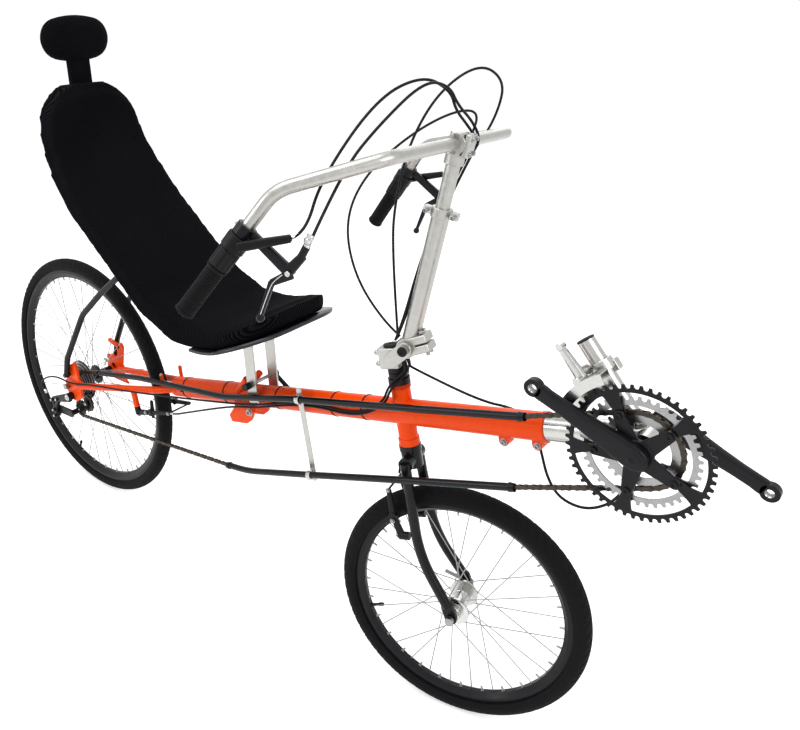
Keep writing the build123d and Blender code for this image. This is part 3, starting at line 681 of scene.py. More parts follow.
build("steererSpacers", "black_alloy", "steering", [
    (lathe, facing(onSteer(low), steerDir), band(14.3, 18.4, 10.2, 0.8), 40)
    for low in (71, 81.5)])

build("barClamp", "silver_alloy", "tiller", [
    (rodBetween, onPost(clampLow - 8.5), onPost(clampLow + 9), 18.5, 36),
    *[(blockAt, onPost(clampLow, ahead), postDir, 13, 14, 20, 2) for ahead in (-22, 22)],
    *[(crossRod, onPost(clampLow, ahead), -14, 14, 4.5) for ahead in clampFacts["earBolts"]],
    (blockAt, onPost(barUp, -1), postDir, 38, 36, 27, 9),
    (blockAt, onPost(barUp, 19.5), postDir, 38, 36, 11, 4),
    (crossRod, barCentre, -18, 18, 17.5, 40),
    (rodBetween, onPost(barUp - 36), onPost(barUp - 4), 17, 36)], "clamps")

build("postLug", "silver_alloy", "tiller", [   # split lug in front of the pivot
    (blockAt, onLug(26, up), lugDir, 36, 38, 15.5, 3) for up in (-9, 9)])

# the handlebar's points are ahead, left and up from the bar clamp
bars = dict(radius=11.1, corner=(27.4, 224), ease=48, elbow=(-168, 318, -51),
            gripEnd=(-294, 371, -247), gripSpan=158, leverY=335)


def atBars(key, left):
    ahead, out, up = bars[key]
    return fromBar(ahead, left * out, up)


def easedCorners(points, ease):
    line = [points[0]]
    for before, here, after in zip(points, points[1:], points[2:]):
        for toward in (before, here, after):
            gap = toward - here
            line.append(here + gap.normalized() * min(ease * milli, gap.length * 0.4)
                        if gap.length else here)
    return line + [points[-1]]


barAhead, barOut = bars["corner"]
barHalves = [[atBars("gripEnd", way), atBars("elbow", way),
              fromBar(way * barAhead, way * barOut, 0)] for way in (-1, 1)]
build("handlebarTube", "silver_alloy", "tiller", [
    (tube, smoothLine(easedCorners(barHalves[0] + barHalves[1][::-1], bars["ease"]), 12),
     bars["radius"], 28)], "handlebar")

print("forms ready")

# tyres: a rounded tread with slanted cuts, two grooves and moulded flank lines
tread = dict(cutDepth=1.1, cutShare=0.26, cutFrom=20, cutTo=60, stepsPerCut=8, grooveDepth=1.0,
             grooveAt=13, grooveHalf=2.2, flankLines=(72, 96), lineHalf=3, flankRise=0.35,
             steps=44)
tyres = {
    "rearTread": dict(node="rear_tyre", body="rear_wheel", centre=rearAxle, radius=346,
                      width=37, seat=315.5, cuts=96),
    "frontTread": dict(node="front_tyre", body="front_wheel", centre=frontAxle, radius=250,
                       width=42, seat=218, cuts=72),
}


def treadRise(angle, share):
    flank = abs(angle)
    if abs(flank - tread["grooveAt"]) < tread["grooveHalf"]:
        return -tread["grooveDepth"]
    if tread["cutFrom"] < flank < tread["cutTo"]:
        slant = (flank - tread["cutFrom"]) / tread["cutTo"] + (0.5 if angle > 0 else 0)
        return -tread["cutDepth"] if (share + slant) % 1 < tread["cutShare"] else 0.0
    raised = flank < tread["cutTo"] or any(abs(flank - line) < tread["lineHalf"]
                                           for line in tread["flankLines"])
    return 0.0 if raised else -tread["flankRise"]


def buildTyre(name, tyre):
    steps, around = tread["stepsPerCut"], tyre["cuts"] * tread["stepsPerCut"]
    bead = tyre["width"] / 2
    crown = tyre["radius"] - bead
    limit = 90 + degrees(asin((crown - tyre["seat"]) / bead))
    atWheel = placer(tyre["centre"], forward, upright)
    loops = []
    for i in range(around):
        turn = 2 * pi * i / around
        loops.append([])
        for k in range(tread["steps"] + 1):
            angle = -limit + limit * 2 * k / tread["steps"]
            reach = bead + treadRise(angle, (i % steps) / steps)
            out = crown + reach * cos(radians(angle))
            loops[-1].append(atWheel(out * cos(turn), out * sin(turn),
                                     reach * sin(radians(angle))))
    build(name, "tyre_rubber", tyre["body"], [(skin, loops, True)], tyre["node"], sharp=50)


for name, tyre in tyres.items():
    buildTyre(name, tyre)
print("tyres ready")

# wheels: nipples, valve and rim tracks, hub rings, as profiles
wheels = {
    "rear": dict(body="rear_wheel", centre=rearAxle, inner=293.5, outer=315.5, halfWidth=11.5,
                 spokes=32, valveTurn=250),
    "front": dict(body="front_wheel", centre=frontAxle, inner=201, outer=218, halfWidth=12.5,
                  spokes=28, valveTurn=205),
}
trimForms = dict(
    nipple=((0, 0), (3.2, 0), (3.2, 0.9), (2.1, 1.2), (2.0, 9), (1.5, 10.5), (0, 10.5)),
    valve=((0, 0), (4.4, 0), (4.4, 2), (3.2, 2.4), (3.0, 18), (3.9, 18.5), (3.9, 27),
           (3.2, 28.5), (0, 28.5)))
hubRings = dict(
    frontFlange=((16, -0.4), (27, -0.4), (27, 0.3), (25.6, 0.9), (18, 0.9), (16, 0.3)),
    collar=((9.1, 0), (13.5, 0), (13.5, 6), (12, 8), (9.1, 8)),
    hubLine=((14.5, -2), (15.6, -1), (15.6, 1), (14.5, 2)),
    lockRing=((9.2, 0), (16.5, 0), (16.5, 1.6), (14, 2.4), (9.2, 2.4)),
    rearFlange=((14, -0.3), (26, -0.3), (26, 0.3), (24.5, 0.8), (16, 0.8), (14, 0.3)))


def sideLathe(bm, centre, left, profile, sides):
    # a turned form that faces outwards, this far to the left or right
    lathe(bm, facing(centre + acrossY * left * milli, acrossY if left > 0 else -acrossY),
          profile, sides)


def buildWheelTrim(name, wheel):
    def inwards(turn, lift):
        outward = leaning(turn)
        return facing(wheel["centre"] + outward * (wheel["inner"] + lift) * milli, -outward)

    low, high = wheel["outer"] - 8.4, wheel["outer"] - 0.8
    build(name + "Nipples", "steel", wheel["body"], [
        (lathe, inwards(360 / wheel["spokes"] * (i + 0.5), 0.4), trimForms["nipple"], 10)
        for i in range(wheel["spokes"])])
    build(name + "Valve", "softBlack", wheel["body"], [
        (lathe, inwards(wheel["valveTurn"], 0.5), trimForms["valve"], 16)])
    build(name + "BrakeTracks", "black_alloy", wheel["body"], [
        (sideLathe, wheel["centre"], left * (wheel["halfWidth"] + 0.02),
         ((low, -0.3), (high, -0.3), (high, 0.05), (low, 0.05)), 128) for left in (-1, 1)])


for name, wheel in wheels.items():
    buildWheelTrim(name, wheel)

build("frontHubRings", "machined", "front_wheel", [
    (sideLathe, frontAxle, left * out, hubRings[form], sides) for left in (-1, 1)
    for out, form, sides in ((32.1, "frontFlange", 48), (32.1, "collar", 32),
                             (14, "hubLine", 48))])

build("rearHubRings", "steel", "rear_wheel", [
    (sideLathe, rearAxle, left, hubRings[form], sides) for left, form, sides in (
        (-62, "lockRing", 24), (-22.1, "rearFlange", 40), (22.1, "rearFlange", 40))])

print("wheel trim ready")

# seat: a padded mesh cover over pad and shell, the shell's front end, headrest and its neck
seatLine = ((118, 1172), (118, 1040), (232, 905), (462, 728), (560, 694), (668, 700),
            (800, 756))
softFacts = {
    "seatPadding": dict(
        node="seat_pad", fill=0.5, voxel=0.006, shrink=1.0, under="seat_shell", noseFrom=0.02,
        noseShort=0.72, lip=0.985, shoulder=0.11, shoulderLoss=0.36, nose=0.10, noseLoss=0.34,
        noseLift=0.016, grow=0.001,
        line=smoothLine([side(ahead, up) for ahead, up in seatLine], 12)),
    "headrestPadding": dict(node="headrest", fill=0.8, voxel=0.0045, shrink=0.97, round=0.72,
                            grow=0, line=[side(86, 1200), side(86, 1330)]),
}
puff = dict(pressure=4.0, frames=20, cap=0.006, roundUp=1.03, relax=6)
shellFrom, weld = 0.035, 1e-5
neck = dict(foot=(96, 1120), head=(88, 1236), wide=58, deep=24, round=9,
            line=[side(86, 1100), side(86, 1330)])


def coordsOf(piece, key="co"):
    return np.array([getattr(vertex, key) for vertex in piece.data.vertices])


def putCoords(piece, coords):
    piece.data.vertices.foreach_set("co", coords.ravel())


def applied(piece, kind, frames=0, **settings):
    # runs one modifier, over these frames if it is cloth, and keeps what it makes
    modifier = piece.modifiers.new("work", kind)
    for key, value in settings.items():
        setattr(modifier, key, value)
    if frames:
        modifier.settings.use_pressure = True
        modifier.settings.uniform_pressure_force = puff["pressure"]
        modifier.settings.effector_weights.gravity = 0
        modifier.point_cache.frame_start = 1
        modifier.point_cache.frame_end = frames
    for step in range(1, frames + 1):
        bpy.context.scene.frame_set(step)
    graph = bpy.context.evaluated_depsgraph_get()
    mesh = bpy.data.meshes.new_from_object(piece.evaluated_get(graph))
    old = piece.data
    piece.modifiers.remove(modifier)
    piece.data = mesh
    bpy.data.meshes.remove(old)


def joinedForm(facts, middle):
    # the solid, and the shell under it drawn in at its lip and nose
    bm = bmesh.new()
    bm.from_mesh(cadNodes[facts["node"]].data)
    bmesh.ops.remove_doubles(bm, verts=bm.verts, dist=weld)
    if facts["shrink"] < 1:
        for vertex in bm.verts:
            vertex.co = middle + (vertex.co - middle) * facts["shrink"]
    if "under" in facts:
        known = set(bm.verts)
        bm.from_mesh(cadNodes[facts["under"]].data)
        for vertex in set(bm.verts) - known:
            vertex.co.y *= facts["lip"]
            past = vertex.co.x - facts["noseFrom"]
            if past > 0:
                vertex.co.x = facts["noseFrom"] + past * facts["noseShort"]
        bmesh.ops.remove_doubles(bm, verts=bm.verts, dist=weld)
    return bm


def puffed(name, facts):
    # a copy of the solid, remeshed and blown up a little, as filled fabric is
    node = facts["node"]
    piece = bpy.data.objects.new(name, cadNodes[node].data.copy())
    bpy.context.scene.collection.objects.link(piece)
    bpy.context.view_layer.objects.active = piece
    middle = sum((Vector(corner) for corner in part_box(node)), Vector()) / 2
    bm = joinedForm(facts, middle)
    bm.to_mesh(piece.data)
    bm.free()
    applied(piece, "REMESH", mode="VOXEL", voxel_size=facts["voxel"])
    rest = coordsOf(piece)
    if "shoulder" in facts:
        up = np.clip((rest[:, 2] - rest[:, 2].max()) / facts["shoulder"] + 1, 0, 1)
        ahead = np.clip((rest[:, 0] - rest[:, 0].max()) / facts["nose"] + 1, 0, 1)
        rest[:, 1] *= np.sqrt(1 - facts["shoulderLoss"] * up ** 2)
        rest[:, 1] *= np.sqrt(1 - facts["noseLoss"] * ahead ** 2)
        rest[:, 2] += facts["noseLift"] * ahead ** 2
    if "round" in facts:
        centre = np.array(middle)
        half = np.abs(rest - centre).max(axis=0)
        unit = (rest - centre) / half
        length = np.linalg.norm(unit, axis=1)[:, None]
        oval = centre + unit / np.maximum(length, 1e-6) * half * puff["roundUp"]
        rest += (oval - rest) * facts["round"]
    putCoords(piece, rest)
    applied(piece, "CLOTH", puff["frames"])
    bpy.context.scene.frame_set(1)
    shift = coordsOf(piece) + coordsOf(piece, "normal") * facts["grow"] - rest
    reach = np.linalg.norm(shift, axis=1)
    scale = np.minimum(1, puff["cap"] / np.maximum(reach, 1e-9))
    putCoords(piece, rest + shift * scale[:, None])
    applied(piece, "SMOOTH", factor=0.5, iterations=puff["relax"])
    applied(piece, "SUBSURF", levels=1, render_levels=1)
    return piece


def weaveOn(piece, line):
    # how far across and along the seat each point lies, which the knit's rows follow
    coords = coordsOf(piece)
    track = np.array([[point.x, point.z] for point in line])
    lengths = np.concatenate([[0], np.cumsum(np.linalg.norm(np.diff(track, axis=0), axis=1))])
    near = np.empty(len(coords))
    batch = 4000
    for start in range(0, len(coords), batch):
        part = coords[start:start + batch][:, [0, 2]]
        gaps = np.linalg.norm(part[:, None, :] - track[None, :, :], axis=2)
        best = np.clip(gaps.argmin(axis=1), 0, len(track) - 2)
        base, ahead = track[best], track[best + 1] - track[best]
        share = ((part - base) * ahead).sum(axis=1) / (ahead ** 2).sum(axis=1)
        near[start:start + batch] = lengths[best] + share * np.linalg.norm(ahead, axis=1)
    for attribute, values in (("weaveAcross", coords[:, 1]), ("weaveAlong", near)):
        layer = piece.data.attributes.new(attribute, "FLOAT", "POINT")
        layer.data.foreach_set("value", values.astype(np.float32))


def finishSoft(piece, finish, body, node):
    piece.data.materials.clear()
    piece.data.materials.append(materials[finish])
    piece.data.polygons.foreach_set("use_smooth", [True] * len(piece.data.polygons))
    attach(piece, body)
    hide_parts(node)


@makes("shellNose", "shell_black", "frame", "seat_shell")
def shellNose(bm):
    # the shell's front end, which shows under the cover's edge
    bm.from_mesh(cadNodes["seat_shell"].data)
    bmesh.ops.remove_doubles(bm, verts=bm.verts, dist=weld)
    cut = bmesh.ops.bisect_plane(bm, geom=bm.verts[:] + bm.edges[:] + bm.faces[:],
                                 plane_co=(shellFrom, 0, 0), plane_no=(1, 0, 0),
                                 clear_inner=True)
    edges = [item for item in cut["geom_cut"] if isinstance(item, bmesh.types.BMEdge)]
    bmesh.ops.edgeloop_fill(bm, edges=edges)


for name, facts in softFacts.items():
    soft = puffed(name, facts)
    weaveOn(soft, facts["line"])
    finishSoft(soft, "knitMesh", "frame", facts["node"])
print("padded seat and headrest ready")

neckFoot, neckHead = side(*neck["foot"]), side(*neck["head"])
weaveOn(build("headrestNeck", "knitMesh", "frame", [
    (prism, facing(neckFoot, neckHead - neckFoot, acrossY),
     roundedOutline(neck["wide"], neck["deep"], neck["round"]), 0,
     (neckHead - neckFoot).length / milli, 2)]), neck["line"])

# frame lugs: plates by their corners along and up, or ahead and up from the rear axle
lugs = dict(plate=((617, -60), (668, -60), (686, -50), (700, -30), (690, 0), (674, 8),
                   (646, 8), (638, -20), (612, -45)), plateY=(29, -24), plateWall=5,
            bossAt=(686, -30), bossFoot=20, bossY=30.8, bossRadius=10, tabAt=(385, 38),
            strut=((645, 8, 18), (690, 46, 21)), strutRadius=8,
            post=((268, -4, 45), (268, -56, 45)), postRadius=7.6,
            rightDrop=((13, 66), (40, 84), (49, 57), (60, -20), (34, -38), (6, -38),
                       (-13, -10), (-13, 12), (0, 28)),
            leftDrop=((-13, -13), (-13, 13), (22, 26), (40, 60), (42, 92), (60, 98), (68, 88),
                      (58, 30), (63, -10), (80, -23), (20, -26)),
            prongs=(((22, 14), (-7, 38)), ((48, 84), (6, 92))), dropY=(-67.1, 73.9),
            dropWall=6.8, headRing=((18.4, 0), (20.4, 0.4), (20.4, 7.6), (18.4, 8)),
            headRingAt=(50, -66), boomRing=((24.9, 0), (26.5, 0.5), (26.5, 8.5), (24.9, 9)),
            boomRingAt=1379)


@makes("frameLugs", "orange_paint", "frame")
def frameLugs(bm):
    for left, plateY in zip((1, -1), lugs["plateY"]):
        sidePlate(bm, [onFrame(*corner) for corner in lugs["plate"]], plateY, lugs["plateWall"])
        crossRod(bm, onFrame(*lugs["bossAt"]), left * lugs["bossFoot"], left * lugs["bossY"],
                 lugs["bossRadius"])
        rodBetween(bm, *[onFrame(along, up, left * out) for along, up, out in lugs["strut"]],
                   lugs["strutRadius"])
        strapBetween(bm, onFrame(381), onFrame(*lugs["tabAt"]), 12, left * 30 + 1.5, 3)
        rodBetween(bm, *[onFrame(along, up, left * out) for along, up, out in lugs["post"]],
                   lugs["postRadius"])
        for up in lugs["headRingAt"]:
            lathe(bm, facing(onSteer(up), steerDir), lugs["headRing"], 40)
    for corners, right in zip((lugs["rightDrop"], lugs["leftDrop"]), lugs["dropY"]):
        sidePlate(bm, [atRear(*corner) for corner in corners], right, lugs["dropWall"])
    for prong in lugs["prongs"]:
        strapBetween(bm, *[atRear(*end) for end in prong], 12, lugs["dropY"][1],
                     lugs["dropWall"])
    lathe(bm, facing(onFrame(lugs["boomRingAt"]), rise), lugs["boomRing"], 48)


# bolts: kind, place, way out, radius, height and washer's radius
def brakeBolts(brake):
    bolts = [(hexBolt, acrossAt(brake["top"], -brake["topY"] - brakeForm["wirePast"]), -acrossY,
              3.6, 3.5)]
    for left in (-1, 1):
        down, bossY = brake["down"], brake["bossY"]
        bolts += [(capBolt, acrossAt(brake["boss"], left * bossY) + down * 16 * milli, down,
                   3.6, 4, 5.4),
                  (hexBolt, acrossAt(brake["pad"], left * (bossY + 2)), acrossY * left, 4, 4)]
    return bolts


outBy = acrossY * -1, acrossY
boltSets = {
    "stemBolts": ("steel", "steering", [
        (capBolt, onSteer(stemUp + up, -31, left), -steerOut, 4.2, 4)
        for up, left in clampFacts["stemBolts"]]),
    "frameBolts": ("steel", "frame", [
        (capBolt, onFrame(*at, out.y * left), out, *size) for out in outBy
        for at, left, *size in ((lugs["bossAt"], lugs["bossY"], 7, 5, 9.5),
                                (lugs["tabAt"], 31.6, 3.4, 3, 5))] + [
        (kind, onFrame(along, -32, out.y * 11), out, *size) for along in (1368, 1306)
        for kind, out, *size in ((capBolt, -acrossY, 4.6, 4.5, 6.5),
                                 (hexBolt, acrossY, 4.4, 4))]),
    "postLugBolts": ("steel", "tiller", [
        (capBolt, onLug(35, up * 19.5, left), lugUp * up, 3.8, 4)
        for left in (-9, 9) for up in (1, -1)]),
    "barClampBolts": ("steel", "tiller", [
        (capBolt, onPost(barUp + up, 25, left), postOut, 3.8, 4)
        for up, left in clampFacts["bolts"]] + [
        (kind, onPost(clampLow, ahead, out.y * 13.6), out, *size)
        for ahead in clampFacts["earBolts"]
        for kind, out, *size in ((capBolt, -acrossY, 3.9, 4.5, 5),
                                 (hexBolt, acrossY, 3.6, 3.5))]),
    "chainringBolts": ("softBlack", "crankset", [
        (capBolt, onCrank(cos(radians(turn)) * cranks["boltCircle"],
                          -sin(radians(turn)) * cranks["boltCircle"], -cranks["boltY"]),
         -acrossY, 5.4, 2.6) for turn in range(36, 396, 72)]),
    "rearMechBolts": ("machined", "frame", [
        (capBolt, atRear(*at, y), -acrossY, *size)
        for group, y, *size in (((mech["hanger"],), mech["y"] - mech["behind"], 6, 3.5, 9),
                                (mech["links"], mech["y"] - 20, 3.2, 2.2),
                                (mech["jockeys"], -52.4, 3.2, 2.6, 4.6)) for at in group]),
}
for name, brake in brakes.items():
    boltSets[name + "Bolts"] = ("steel", brake["body"], brakeBolts(brake))
for name, (finish, body, bolts) in boltSets.items():
    build(name, finish, body, bolts)
print("bolts ready")

# chain: real links on every open stretch, from tube mouth to tube mouth
chain = dict(pitch=12.7, line=43, smallRing=30, cog=16, plateEnd=4.1, plateWaist=3.1,
             inner=(1.55, 2.3), outer=(2.4, 3.25), roller=(3.8, -1.5, 1.5),
             pin=(1.9, -3.6, 3.6), past=0.012)
# each tube's two mouths: ahead, up and to the left, with the mouths' own form
upperWay = ((1308, 729, -43), (108, 409, -43))
lowerWay = ((622, 342, -50), (1308, 597, -50))
mouth = ((7.1, -9), (7.5, -9), (8.6, 1), (8.2, 1.6), (5.8, 1), (5.8, 0))


def flat(point):
    return (point.x / milli, point.z / milli)


def tangent(start, startRadius, startTurn, end, endRadius, endTurn):
    # touching points of the straight run between two wheels
    spanX, spanZ = end[0] - start[0], end[1] - start[1]
    lean = asin((endTurn * endRadius - startTurn * startRadius) / hypot(spanX, spanZ))
    heading = atan2(spanZ, spanX) - lean
    normal = (-sin(heading), cos(heading))
    return (tuple(start[k] - normal[k] * startRadius * startTurn for k in (0, 1)),
            tuple(end[k] - normal[k] * endRadius * endTurn for k in (0, 1)))


def inLine(x, z):
    return Vector((x, -chain["line"], z)) * milli


def arcPoints(centre, start, end, turn, step=2.0):
    first = atan2(start[1] - centre[1], start[0] - centre[0])
    last = atan2(end[1] - centre[1], end[0] - centre[0])
    swept = (last - first) * turn % (2 * pi) * turn
    reach = hypot(start[0] - centre[0], start[1] - centre[1])
    count = max(2, int(abs(swept) * reach / step))
    return [inLine(centre[0] + reach * cos(first + swept * i / count),
                   centre[1] + reach * sin(first + swept * i / count))
            for i in range(count + 1)]


def withEnds(start, line, end):
    # carries a run a little way into the tube at each end
    return [start + (start - line[0]).normalized() * chain["past"], *line,
            end + (end - line[-1]).normalized() * chain["past"]]


def chainPaths():
    ringRadius, cogRadius, jockey = (
        count * chain["pitch"] / (2 * pi)
        for count in (chain["smallRing"], chain["cog"], mech["jockeyTeeth"]))
    ring, cog = flat(bracket), flat(rearAxle)
    upper, lower = (flat(atRear(*at)) for at in mech["jockeys"])
    upperFront, upperRear, lowerRear, lowerFront = (side(*at) for at in upperWay + lowerWay)
    ringTop = tangent(ring, ringRadius, 1, flat(upperFront), 0, 1)[0]
    ringFoot = tangent(flat(lowerFront), 0, 1, ring, ringRadius, 1)[1]
    cogTop = tangent(flat(upperRear), 0, 1, cog, cogRadius, 1)[1]
    cogOff, jockeyOn = tangent(cog, cogRadius, 1, upper, jockey, -1)
    jockeyOff, lowOn = tangent(upper, jockey, -1, lower, jockey, 1)
    lowOff = tangent(lower, jockey, 1, flat(lowerRear), 0, 1)[0]
    return (withEnds(lowerFront, arcPoints(ring, ringFoot, ringTop, 1), upperFront),
            withEnds(upperRear, arcPoints(cog, cogTop, cogOff, 1)
                     + arcPoints(upper, jockeyOn, jockeyOff, -1)
                     + arcPoints(lower, lowOn, lowOff, 1), lowerRear))


def linkOutline():
    pitch, end, waist = chain["pitch"], chain["plateEnd"], chain["plateWaist"]
    outline = []
    for centre, middle, neck in ((pitch, 0, waist), (0, 180, -waist)):
        for i in range(7):
            angle = radians(middle - 80 + 160 * i / 6)
            outline.append((centre + end * cos(angle), end * sin(angle)))
        outline.append((pitch / 2, neck))
    return outline


@makes("chainLinks", "chain_steel", "frame", "chain", sharp=30)
def chainLinks(bm):
    outline = linkOutline()
    pitch = chain["pitch"] * milli
    for line in chainPaths():
        track = np.array([list(point) for point in line])
        steps = np.linalg.norm(np.diff(track, axis=0), axis=1)
        lengths = np.concatenate([[0], np.cumsum(steps)])
        count = int(lengths[-1] / pitch)
        spare = (lengths[-1] - count * pitch) / 2
        pins = [Vector([np.interp(spare + i * pitch, lengths, track[:, axis])
                        for axis in range(3)]) for i in range(count + 1)]
        for i, (start, end) in enumerate(zip(pins, pins[1:])):
            along = end - start
            heading = along.normalized()
            across = acrossY - heading * acrossY.dot(heading)
            place = facing(start, across, along)
            low, high = chain["inner" if i % 2 else "outer"]
            prism(bm, place, outline, low, high)
            prism(bm, place, outline, -high, -low)
            lathe(bm, place, disc(*chain["roller"]), 12)
            if i % 2 == 0:
                for at in (start, end):
                    lathe(bm, facing(at, across, along), disc(*chain["pin"]), 8)
        print("chain links:", count)


# clips that hold the two chain tubes, with their screws, and ties round the main tube
clips = dict(rings=(((828, 587.4, -43), (267, 0, 78)), ((873, 431.6, -57.6), (412, 0, 164))),
             form=((8.9, -5.5), (9.6, -4.9), (9.6, 4.9), (8.9, 5.5)),
             screws=((825, 573, -35.8), (863, 425, -35.8)), stub=(867, 418), lean=(0.96, 0, 0.28))
ties = dict(at=(770, 930, 1010, 600, 450), out=-27.4,
            form=((25.2, -1.8), (26.1, -1.4), (26.1, 1.4), (25.2, 1.8)))

build("chainTubeClips", "polished_alloy", "frame", [
    *[(lathe, facing(side(*at), Vector(heading)), clips["form"], 32)
      for at, heading in clips["rings"]],
    *[(capBolt, side(*at), -acrossY, 3.8, 3.4, 5.6) for at in clips["screws"]],
    (crossRod, side(*clips["stub"]), -35.8, -56, 4)])

build("chainTubeMouths", "tubeBlack", "frame", [
    (lathe, facing(side(*at), Vector(clips["lean"]) * way), mouth, 28)
    for at, way in zip(upperWay + lowerWay, (-1, 1, 1, -1))])

build("cableTies", "softBlack", "frame", [form for along in ties["at"] for form in (
    (lathe, facing(onFrame(along), rise), ties["form"], 48),
    (prism, facing(onFrame(along, 2, ties["out"]), -acrossY, rise), roundedOutline(5, 6, 1), -1,
     3, 0.5))])

# grips: profiles along the bar's end, from the inner end outwards
grips = dict(bore=11.2, ribs=(71.0, 148, 4.6), low=14.5, high=15.5,
             collar=((17.2, 64.2), (17.5, 65.4), (17.3, 68), (16, 69.5)),
             tip=((14.5, 150.5), (16.2, 151.5), (16.5, 153), (16.5, 156), (15, 157)),
             plug=((0, 0), (10.9, 0), (10.9, 5.5), (9, 6.4), (0, 6.6)))


def onGrip(along, left):
    start, end = atBars("elbow", left), atBars("gripEnd", left)
    return end + (start - end).normalized() * (bars["gripSpan"] - along) * milli


def gripPlace(along, left):
    return facing(onGrip(along, left), onGrip(100, left) - onGrip(0, left))


def onLever(ahead, up, left, outward=0):
    return fromBar(ahead, left * (bars["leverY"] + outward), up)


@makes("ribbedGrips", "grip_rubber", "tiller", "grips")
def ribbedGrips(bm):
    low, high = grips["low"], grips["high"]
    at, last, pitch = grips["ribs"]
    profile = [(grips["bore"], 64.2), *grips["collar"]]
    while at < last:
        profile += [(low, at), (low, at + 0.9), (high, at + 1.5), (high, at + 3.7)]
        at += pitch
    profile += [*grips["tip"], (grips["bore"], 157)]
    for left in (-1, 1):
        place = gripPlace(0, left)
        lathe(bm, place, profile, 36)
        # longer pads on the palm side
        for angle in range(-40, 41, 20):
            prism(bm, tipped(moved(turned(place, angle), 15.1, 110)),
                  roundedOutline(60, 3.2, 1.5), -0.5, 0.4, 0.2)


build("barEndPlugs", "softBlack", "tiller", [
    (lathe, gripPlace(150, left), grips["plug"], 24) for left in (-1, 1)])

# levers and shifters: points ahead of and up from the bar clamp, then widths and depths
levers = dict(hinge=(-129.5, -163.4), barrel=(-112.5, -137.4), barrelEnd=(-103.5, -119.4),
              blades=(((-127.5, -165.4), (-160.5, -184.4), 16, 9, 11, 8),
                      ((-159.5, -182.4), (-177.5, -239.4), 10, 9, 6, 9)),
              arm=((-135.5, -165.4), (-109.5, -135.4), 18, 12, 13, 11),
              ball=(-178.5, -243.4), barrelAim=(-100.5, -103.4),
              edge=((-139.5, -167.4, 4.8), (-153.5, -178.4, 4.6), (-161.5, -193.4, 4.6),
                    (-175.5, -235.4, 4.6)),
              ballForm=((0, -6.4), (3.6, -5.6), (6.0, -3.2), (6.6, 0), (6.0, 3.2), (3.6, 5.6),
                        (0, 6.4)),
              barrelForm=((0, -2), (5.6, -2), (5.6, 3), (4.2, 3.6), (4.2, 5), (6.4, 5.5),
                          (6.4, 10.5), (4.4, 11.5), (3.4, 12), (3.4, 19), (0, 19)))
shifters = dict(barrels=((30, 63, 17.5, 32), (4, 30, 19.5, 36, 2)), tail=(-129.5, -112.4),
                window=(16, 11, 5.4), windowTurn=-63.025, ribs=14, rib=(30, 3.4, 1.4))


@makes("leverBodies", "black_alloy", "tiller", "brake_levers")
def leverBodies(bm):
    for left in (-1, 1):
        rodBetween(bm, onGrip(-15, left), onGrip(3, left), 16.5, 32)
        hinge = onLever(*levers["hinge"], left)
        taper(bm, onGrip(-6, left) + Vector((12, 0, -4)) * milli, hinge, 15, 11, 18, 12)
        rodBetween(bm, onLever(*levers["barrel"], left), onLever(*levers["barrelEnd"], left), 6)
        crossRod(bm, hinge, hinge.y / milli - 9, hinge.y / milli + 9, 5)
        for start, end, *size in (levers["arm"], *levers["blades"]):
            taper(bm, onLever(*start, left), onLever(*end, left), *size)


build("shifterBodies", "black_plastic", "tiller", [form for left in (-1, 1) for form in (
    *[(rodBetween, onGrip(start, left), onGrip(end, left), *size)
      for start, end, *size in shifters["barrels"]],
    (taper, onGrip(24, left) + Vector((16, left * 13, 4)) * milli,
     onLever(*shifters["tail"], left), 16, 17, 12, 12, 2))], "shifters")

build("gearWindows", "machined", "tiller", [
    (prism, tipped(moved(turned(gripPlace(15, left), shifters["windowTurn"]), 19.3, 2)),
     roundedOutline(*shifters["window"]), -0.6, 0.8, 0.4) for left in (-1, 1)])

build("shifterRibs", "softBlack", "tiller", [
    (prism, tipped(moved(turned(gripPlace(0, left), 360 * i / shifters["ribs"]), 17.1, 46.5)),
     roundedOutline(*shifters["rib"]), -0.6, 0.9, 0.3)
    for left in (-1, 1) for i in range(shifters["ribs"])])

build("leverBalls", "black_alloy", "tiller", [
    (lathe, facing(onLever(*levers["ball"], left), acrossY), levers["ballForm"], 20)
    for left in (-1, 1)])


@makes("leverFittings", "machined", "tiller")
def leverFittings(bm):
    for left in (-1, 1):
        # adjuster barrel where the cable enters the lever
        root = onLever(*levers["barrelEnd"], left)
        lathe(bm, facing(root, onLever(*levers["barrelAim"], left) - root),
              levers["barrelForm"], 18)
        for out in (9, -9):
            capBolt(bm, onLever(*levers["hinge"], left, out), acrossY * left * out, 4.2, 1.2)
        # thin bright edge along the blade
        tube(bm, smoothLine([onLever(ahead, up, left, out) for ahead, up, out in
                             levers["edge"]]), 0.8, 8)
        under = (onGrip(100, left) - onGrip(0, left)).cross(-acrossY).normalized()
        capBolt(bm, onGrip(-6, left) + under * 16.4 * milli, under, 3.6, 3)


